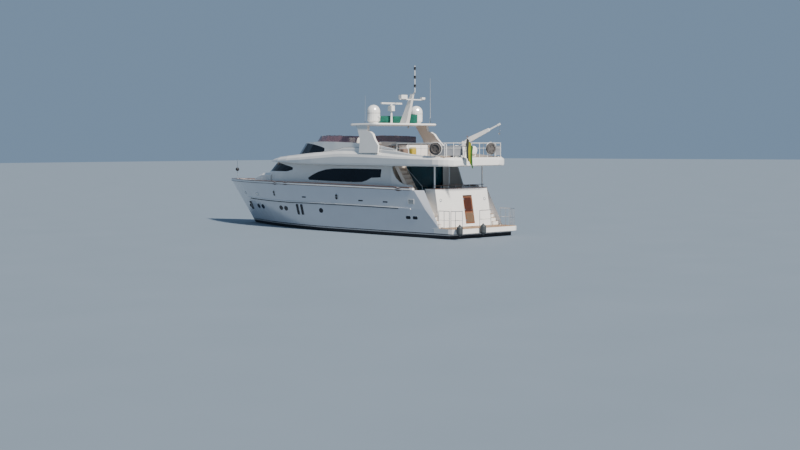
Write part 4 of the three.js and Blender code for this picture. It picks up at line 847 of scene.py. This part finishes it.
for i, ((ax, ay), (bx, by)) in enumerate(zip(BAYS, BAYS[1:]), 3):
    rail_panel(f"rail_panel_port_{i}", (ax, ay), (bx, by), i * 1.3)
    rail_panel(f"rail_panel_stbd_{i}", (ax, -ay), (bx, -by), i * 2.1)


def buoy_cover(word, out):
    """On the CAD lifebuoy: the white hoop round it, and its cover's ring, hem and straps."""
    node = NODES[f"lifebuoy_{word}"]
    out = Vector((*out, 0)).normalized()
    middle = sum((node.matrix_world @ v.co for v in node.data.vertices), Vector()) / len(node.data.vertices)
    at = Vector((middle.x - out.x * 0.065, middle.y - out.y * 0.065, 5.76))
    side = out.cross(UP)

    def bent(r, a, off):
        return at + out * off + (side * cos(a) + UP * sin(a)) * r

    for part, radius, r, off, look in (
        ("hoop", 0.405, 0.022, 0.03, WHITE),
        ("ring", 0.28, 0.045, 0.13, COVER),
        ("hem", 0.378, 0.012, 0.12, SHADE_AND_DARK_TRIM),
    ):
        tube(f"buoy_{part}_{word}", [bent(radius, 2 * pi * i / 36, off) for i in range(37)], r, look)
    for i in range(4):
        a = pi / 4 + i * pi / 2
        strap = [bent(r, a, off) for r, off in ((0.1, 0.14), (0.28, 0.182), (0.385, 0.1))]
        tube(f"buoy_strap_{word}_{i}", strap, 0.009, SHADE_AND_DARK_TRIM, sides=6)


buoy_cover("port", (-0.359, 0.933))
buoy_cover("stbd", (-1, 0.04))


def ensign():
    """The ensign hangs limp from its staff, in three upright bands."""
    rows, cols, hoist = 36, 30, 1.28
    verts = []
    for t, u in spots(rows, cols):
        fold = 0.055 * sin(2 * pi * 3.2 * u + 1.4 * t + 0.8) * (0.5 + 0.5 * u)
        fold += 0.018 * sin(2 * pi * 7 * u + 3 * t)
        reach = 0.42 * u * (1 - 0.35 * t)
        y = 1.66 - 0.34 * u + 0.6 * fold + 0.05 * sin(2.2 * t + u)
        x = -13.99 - reach * 0.62 + 0.5 * fold
        z = 6.42 - hoist * t - 0.66 * u ** 1.15 + 0.02 * noise(Vector((u * 5, t * 5, 0)))
        verts.append((x, y, z))
    o = open_sheet("ensign_cloth", verts, grid(rows, cols), FLAG_DARK)
    o.data.materials.append(FLAG)
    o.data.materials.append(FLAG_GREEN)
    for i, face in enumerate(o.data.polygons):
        face.material_index = i % cols // 10
    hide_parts("ensign")


ensign()
TRUCK = [(0.012, 0), (0.04, 0.012), (0.045, 0.03), (0.03, 0.055), (0.006, 0.065)]
HALYARD = [(-13.985, 1.672, 6.50), (-13.95, 1.66, 5.9), (-13.80, 1.63, 5.45), (-13.78, 1.625, 5.42)]
turned("staff_truck", TRUCK, (-13.98, 1.64, 6.515), VARNISH, sides=14)
tube("staff_halyard", HALYARD, 0.004, LIGHT_CLOTH, sides=5)

cushion("float_pack", (-10.05, -9.65), (2.35, 2.72), (5.24, 5.86), YELLOW, round_by=0.08)
cushion("pad_stack", (-9.2, -8.85), (2.3, 2.75), (5.24, 5.78), BROWN, round_by=0.06)
for i, (a, b) in enumerate((((-11.62, 2.86), (-11.86, 2.85)), ((-12.86, 2.60), (-12.98, 2.52)))):
    crown = ((a[0] + b[0]) / 2, (a[1] + b[1]) / 2, 6.09)
    tube(f"rail_hoop_{i}", [(*a, 5.24), (*a, 6.02), crown, (*b, 6.02), (*b, 5.24)], 0.022, WHITE)


def raft(name, x, y, z):
    """A liferaft in its moulded canister on a cradle, lying along the boat."""
    r, long = 0.3, 1.25
    half = long / 2
    end = [(r * 0.7, -half), (r * 0.93, -half + 0.03), (r, -half + 0.09), (r, -0.03), (r * 1.06, -0.03)]
    turned(name, end + [(a, -h) for a, h in reversed(end)], (x, y, z + r + 0.14), WHITE, sides=28, axis="X")
    for i, u in enumerate((x - 0.36 * long, x + 0.36 * long)):
        torus(f"{name}_band_{i}", r * 1.02, 0.014, (u, y, z + r + 0.14), STEEL)
        slab(f"{name}_chock_{i}", (u - 0.04, u + 0.04), (y - r * 0.9, y + r * 0.9), (z, z + 0.24), PAINT)


raft("raft_stbd", -10.2, -2.3, BOAT_DECK)


@both
def overhang_lights(s, word):
    lens = [(0.09, 0), (0.085, -0.012), (0.05, -0.016)]
    for i, x in enumerate((-9.2, -11.4)):
        turned(f"overhang_light_{word}_{i}", lens, (x, s * 1.6, 4.622), WHITE, sides=18)


slab("locker_lid_trim", (-13.26, -12.79), (0.89, 2.01), (5.90, 5.925), SHADE_AND_DARK_TRIM, round_by=0.005)
for y in (1.2, 1.7):
    edges = (-12.80, -12.775), (y - 0.04, y + 0.04), (5.84, 5.92)
    slab(f"locker_latch_{int(y * 10)}", *edges, STEEL, round_by=0.006)
collar = [(0.27, 0), (0.27, 0.05), (0.24, 0.08), (0.235, 0.12)]
turned("crane_collar", collar, (-11.5, -0.6, BOAT_DECK), STEEL, sides=24)
torus("hook_ball_band", 0.078, 0.008, (-13.605, -1.775, 6.95), STEEL, "crane_hook", "Z", 20, 6)

# Flybridge: helm, seats, pads, table, bar and the tinted screen's rail

HELM_LEAN = -0.42
console = slab("console_face", (0.42, 1.42), (-1.0, 1.0), (BOAT_DECK, 6.12), GELCOAT, round_by=0.06)
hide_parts("helm_console")
slab("console_dash", (0.2, 0.75), (-0.95, 0.95), (6.1, 6.14), DASH, round_by=0.015, lean=HELM_LEAN,
     at=Vector((0.52, 0, 6.22)))
for i, y in enumerate((-0.62, 0.0, 0.62)):
    slab(f"console_screen_{i}", (-0.15, 0.15), (-0.22, 0.22), (-0.012, 0.012), GLASS, round_by=0.008,
         lean=HELM_LEAN, at=Vector((0.52, y, 6.252)))
torus("helm_wheel", 0.24, 0.016, (0.23, 0.0, 6.08), STEEL)
for i in range(3):
    a = pi / 2 + i * 2 * pi / 3
    tip = (0.23, 0.235 * cos(a), 6.08 + 0.235 * sin(a))
    tube(f"helm_spoke_{i}", [(0.24, 0, 6.08), tip], 0.011, STEEL)
tube("helm_shaft", [(0.23, 0, 6.08), (0.44, 0, 6.08)], 0.024, STEEL)
LEVER = [(0.05, 0), (0.05, 0.03), (0.016, 0.045), (0.014, 0.13), (0.026, 0.15), (0.024, 0.18)]
for i, y in enumerate((-0.29, 0.39)):
    turned(f"throttle_{i}", LEVER, (0.42, y, 6.19), STEEL, sides=14)
SEAT_POST = [(0.22, 0), (0.2, 0.03), (0.07, 0.07), (0.06, 0.5)]
for i, y in enumerate((-0.36, 0.36)):
    turned(f"helm_post_{i}", SEAT_POST, (-0.86, y, 5.21), STEEL)
    pad = cushion(f"helm_pad_{i}", (-1.14, -0.58), (y - 0.29, y + 0.29), (5.72, 5.87), LEATHER)
    cushion(f"helm_back_{i}", (-1.21, -1.04), (y - 0.28, y + 0.28), (5.90, 6.58), LEATHER, lean=-0.06)
    if i == 0:
        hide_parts("helm_seat")
for i in range(4):
    a = -5.18 + 0.79 * i
    pad = cushion(f"settee_pad_{i}", (a, a + 0.77), (-2.46, -1.77), (5.565, 5.69))
    cushion(f"settee_back_{i}", (a, a + 0.77), (-2.52, -2.38), (5.72, 6.12))
    if i == 0:
        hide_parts("settee_cushion")
slab("fly_table_top", (-4.6, -2.8), (-1.35, -0.5), (5.93, 5.975), TABLE_WOOD)
FLY_LEG = [(0.18, 5.22), (0.17, 5.25), (0.05, 5.29), (0.045, 5.87), (0.12, 5.9), (0.12, 5.935)]
for i, x in enumerate((-4.2, -3.2)):
    turned(f"fly_table_leg_{i}", FLY_LEG, (x, -0.92, 0), STEEL, sides=18)
slab("sun_bed", (-5.3, -2.6), (1.05, 2.45), (BOAT_DECK, 5.5), GELCOAT, round_by=0.05)
for i in range(2):
    cushion(f"sun_pad_{i}", (-5.25 + 1.33 * i, -3.95 + 1.33 * i), (1.1, 2.4), (5.5, 5.62))
slab("wet_bar", (-7.1, -6.3), (-1.5, 0.5), (BOAT_DECK, 6.05), GELCOAT, round_by=0.05)
slab("wet_bar_top", (-7.13, -6.27), (-1.53, 0.53), (6.05, 6.09), DASH, round_by=0.015)


@both
def screen_rail(s, word):
    """A steel rail along the tinted screen's top edge, found by looking down from outboard inward."""
    run = []
    for x in spread(-4.0, 2.2, 24):
        best = None
        for k in range(60):
            hit = top_of("wind_screen", x, s * (2.86 - 0.03 * k), 7.2)
            if best and not hit:
                break
            if hit and (best is None or hit.z > best.z + 0.001):
                best = hit
        if best:
            run.append(best + UP * 0.006)
    tube(f"screen_rail_{word}", run, 0.014, STEEL)


@both
def coaming_shadow_line(s, word):
    """A painted shadow line where the coaming meets the deck moulding."""
    run = []
    for x in spread(-8.4, 2.2, 50):
        hits = [side_of("flybridge_coaming", x, z, s) for z in (5.5, 5.6, 5.7, 5.8, 5.9, 5.95, 6.0, 6.05)]
        hits = [p for p in hits if p and abs(p.y) > 1.0]
        if hits:
            y = hits[0].y
            deck = "boat_deck_forward" if x > -7.6 else "boat_deck"
            feet = [top_of(node, x, y + s * 0.03, 7) for node in (deck, f"rim_{word}")]
            tops = [p.z for p in feet if p]
            if tops:
                run.append(Vector((x, y + s * 0.012, max(tops) + 0.006)))
    tube(f"coaming_shadow_line_{word}", run, 0.016, SHADE_AND_DARK_TRIM, sides=6)


# Fenders: ribbed ends, an eye and a rope up to the rail

def fender(node):
    pts = [NODES[node].matrix_world @ v.co for v in NODES[node].data.vertices]
    x, y, z = [min(p[k] for p in pts) for k in range(3)]
    x_end, rail = max(p.x for p in pts), max(p.z for p in pts)
    r, top = 0.196, 0.98
    x, y = x + 0.2, y + 0.2
    end = [(0.02, 0.005), (0.045, 0.02), (0.05, 0.05), (0.10, 0.09), (0.86 * r, 0.15), (r, 0.23),
           (0.98 * r, 0.26), (r, 0.29)]
    rows = [(a, z + h) for a, h in end] + [(a, top - h) for a, h in reversed(end)]
    body = turned(f"{node}_body", rows, (x, y, 0.0), RUBBER, sides=32)
    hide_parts(node)
    path = [(x, y, top - 0.01), (x, y, top + 0.14), (x + 0.02, y, rail - 0.05), (x + 0.06, y, rail - 0.012),
            (x + 0.12, y, rail - 0.01), (x_end, y, rail - 0.012), (x_end + 0.012, y, rail - 0.012)]
    o = tube(f"{node}_rope", path, 0.009, LIGHT_CLOTH)


fender("fender_port")
fender("fender_mid")


# Arch: draped covers, dome seams, horns, lights, whips, mast and radar fittings

def draped(name, x, y, top, node, seed, corner):
    """A cover drawn down over a load: a crowned top, slack sides and a gathered hem; corner 1 is round."""
    foot = 7.515
    tall = top - foot
    cx, cy = (x[0] + x[1]) / 2, (y[0] + y[1]) / 2
    hx, hy = (x[1] - x[0]) / 2 - 0.02, (y[1] - y[0]) / 2 - 0.02
    steps, rings = 72, 22
    crown = 0.55
    verts = []
    for r in range(rings + 1):
        t = r / rings
        for i, (c, d) in enumerate(circle(1, steps)):
            ex, ey = copysign(abs(c) ** corner, c), copysign(abs(d) ** corner, d)
            if t < crown:
                k = t / crown
                f = sin(k * pi / 2) ** 0.8
                z = top - 0.05 * k ** 3 - tall * 0.05 * k ** 2
                z += 0.012 * noise(Vector((ex * k * 3 + seed, ey * k * 3, 0)))
            else:
                k = (t - crown) / (1 - crown)
                f = 1.0 - 0.10 * k ** 2 + 0.028 * sin(i * 2 * pi * 11 / steps + seed) * k ** 1.5
                z = top - 0.05 - tall * 0.05 - (tall * 0.95 - 0.07) * k
            f *= 0.97 + 0.03 * noise(Vector((c * 2 + seed, d * 2, t * 3)))
            verts.append((cx + ex * hx * f, cy + ey * hy * f, z))
    faces = skin(steps, rings * steps) + [(len(verts), i, (i + 1) % steps) for i in range(steps)]
    o = open_sheet(name, verts + [(cx, cy, top)], faces, GREEN)
    bm = bmesh.new()
    bm.from_mesh(o.data)
    bmesh.ops.recalc_face_normals(bm, faces=bm.faces)
    bmesh.ops.remove_doubles(bm, verts=bm.verts, dist=0.002)
    bm.to_mesh(o.data)
    bm.free()
    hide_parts(node)


draped("cover_long", (-4.94, -4.16), (-1.42, 1.42), 8.06, "arch_cover_long", 0.4, 0.32)
draped("cover_round", (-6.52, -5.58), (-1.37, -0.43), 8.15, "arch_cover_round", 2.1, 1.0)
HORN = [(0.02, 0), (0.022, 0.2), (0.03, 0.3), (0.055, 0.38), (0.085, 0.42), (0.07, 0.42)]
SPOT = [(0.055, 0), (0.07, -0.03), (0.07, -0.1), (0.06, -0.12)]
DOME_FOOT = [(0.30, 7.512), (0.30, 7.56), (0.26, 7.58)]


@both
def arch_pair(s, word):
    torus(f"dome_seam_{word}", 0.456, 0.007, (-5.38, s * 2.0, 8.2), SHADE_AND_DARK_TRIM, axis="Z")
    turned(f"dome_foot_{word}", DOME_FOOT, (-5.38, s * 2.0, 0), PAINT, sides=28)
    turned(f"arch_spot_{word}", SPOT, (-4.15, s * 2.4, 7.345), STEEL, sides=16)
    turned(f"horn_{word}", HORN, (-4.1, s * 0.25, 7.60), STEEL, sides=18, axis="X")
    edges = (-4.1, -3.96), (s * 0.25 - 0.03, s * 0.25 + 0.03), (ARCH_TOP, 7.60)
    slab(f"horn_foot_{word}", *edges, STEEL, round_by=0.01)


PORT_FOOT = [(0.03, ARCH_TOP), (0.03, 7.6), (0.015, 7.66)]
STBD_FOOT = [(0.05, ARCH_TOP), (0.05, 7.6), (0.035, 7.75), (0.03, 7.9)]
GPS = [(0.03, 7.86), (0.09, 7.89), (0.095, 7.93), (0.06, 7.97), (0.01, 7.985)]
tube("whip_port_thin", [(-5.3, 2.7, ARCH_TOP), (-5.32, 2.7, 9.4)], 0.008, WHIP, sides=6)
turned("whip_port_foot", PORT_FOOT, (-5.3, 2.7, 0), STEEL, sides=12)
turned("whip_stbd_foot", STBD_FOOT, (-6.25, -2.55, 0), STEEL, sides=14)
tube("gps_stem", [(-6.5, 2.5, ARCH_TOP), (-6.5, 2.5, 7.9)], 0.014, STEEL)
turned("gps_head", GPS, (-6.5, 2.5, 0), WHITE)
LAMP = [(0.05, -0.1), (0.085, -0.08), (0.078, -0.07), (0.078, 0.07), (0.085, 0.08), (0.04, 0.1)]
for i, z in enumerate((10.05, 10.64, 11.23)):
    turned(f"mast_light_{i}", LAMP, (-7.39, 0.0, z), BLACK, sides=16)
slab("radar_band", (-5.225, -5.065), (-0.78, 1.08), (8.905, 8.925), SHADE_AND_DARK_TRIM, "radar_bar", round_by=0.004)

# Foredeck: windlasses, chains, hatches and anchors

FORE = sheer_deck(11.6)
WINDLASS = [(0.17, 0), (0.17, 0.05), (0.12, 0.08), (0.10, 0.16), (0.13, 0.22), (0.13, 0.26), (0.08, 0.28),
            (0.07, 0.36), (0.11, 0.42), (0.11, 0.44), (0.03, 0.47)]


@both
def windlass(s, word):
    y = s * 0.34
    turned(f"windlass_{word}", WINDLASS, (11.75, y, FORE + TEAK_THICK), STEEL, sides=24)
    chain = [(11.86, y, FORE + 0.2), (12.2, y, FORE + 0.07), (12.6, y * 0.9, FORE + 0.06)]
    tube(f"chain_{word}", chain, 0.022, IRON, sides=6)
    across = (y * 0.95 - 0.07, y * 0.95 + 0.07)
    slab(f"chain_stop_{word}", (12.35, 12.55), across, (FORE + 0.01, FORE + 0.12), STEEL)


for i, (x, y) in enumerate(((9.6, 0.0), (8.2, 0.75), (8.2, -0.75))):
    z = level_of("trunk", x, y, 6.0)
    for kind, half, low, high, look, by in (
        ("hatch", 0.3, -0.03, 0.05, STEEL, 0.03),
        ("hatch_pane", 0.25, 0.03, 0.062, GLASS, 0.01),
    ):
        edges = (x - half, x + half), (y - half, y + half), (z + low, z + high)
        slab(f"deck_{kind}_{i}", *edges, look, round_by=by)


@both
def anchor(s, word):
    """A stockless anchor hove up into its pocket in the bow."""
    put, pocket = on_hull(10.35, 1.42, s), rounded(0.62, 0.62, 0.12)
    rim(f"anchor_pocket_rim_{word}", pocket, put, 0.05, STEEL, 0.02)
    # The pocket's inside is a near-black plate: painted shade.
    plate(f"anchor_pocket_{word}", pocket, put, SHADE_AND_DARK_TRIM, 0.008)
    base = put(0, 0, 0.04)
    shank = [base + Vector((0.02, 0, 0.22)), base + Vector((-0.02, s * -0.01, -0.18))]
    tube(f"anchor_shank_{word}", shank, 0.03, IRON)
    bar = [(-0.05, -0.018), (0.05, -0.018), (0.05, 0.018), (-0.05, 0.018)]
    for letter, d in (("a", -1), ("b", 1)):
        p = base + Vector((0.0, 0, -0.18))
        q = base + Vector((d * 0.2, s * -0.02, 0.04))
        bend = p + (q - p) * 0.5 + Vector((d * 0.05, 0, -0.02))
        swept(f"anchor_fluke_{word}_{letter}", [p, bend, q], bar, IRON)


# Windows of the bridge: bars between the panes, and wipers on the middle three

BAR = [(-0.03, -0.006), (0.03, -0.006), (0.03, 0.01), (-0.03, 0.01)]
for i, y in enumerate((-1.6, -0.8, 0.0, 0.8, 1.6)):
    hits = [met("windshield", (9.5, y, 4.17 + 0.1 * k), (-1, 0, 0)) for k in range(7)]
    pts = [p + Vector((0.004, 0, 0)) for p in hits if p]
    swept(f"windshield_bar_{i}", [pts[0], pts[-1]], BAR, BLACK)
    if 1 <= i <= 3:
        a, b = pts[1], pts[-2]
        elbow = (a + b) / 2 + Vector((0.045, 0.28, 0))
        arm = [a + Vector((0.03, 0.30, -0.02)), elbow, b + Vector((0.03, 0.22, 0))]
        blade = [a + (b - a) * 0.35 + Vector((0.03, 0.27, 0)), b + Vector((0.03, 0.21, 0.02))]
        tube(f"wiper_{i}", arm, 0.008, BLACK, sides=6)
        tube(f"wiper_blade_{i}", blade, 0.013, BLACK, sides=6)

# Floor and light

FLOOR_HALF = 450
mesh = bpy.data.meshes.new("floor")
corners = [(x * FLOOR_HALF, y * FLOOR_HALF, 0) for x, y in ((-1, -1), (1, -1), (1, 1), (-1, 1))]
mesh.from_pydata(corners, [], [(0, 1, 2, 3)])
mesh.materials.append(FLOOR)
link(bpy.data.objects.new("floor", mesh))

sun = bpy.data.lights.new("sun", "SUN")
sun.energy = 6.8
sun.angle = radians(5)
sun.color = (1.0, 0.95, 0.88)
lamp = link(bpy.data.objects.new("sun", sun))
lamp.rotation_mode = "QUATERNION"
lamp.rotation_quaternion = Vector((0.74, -0.05, -0.67)).to_track_quat("-Z", "Y")
world = bpy.data.worlds.new("sky")
world.use_nodes = True
sky = world.node_tree.nodes["Background"]
sky.inputs["Color"].default_value = (0.47, 0.69, 1.0, 1)
sky.inputs["Strength"].default_value = 0.40
bpy.context.scene.world = world
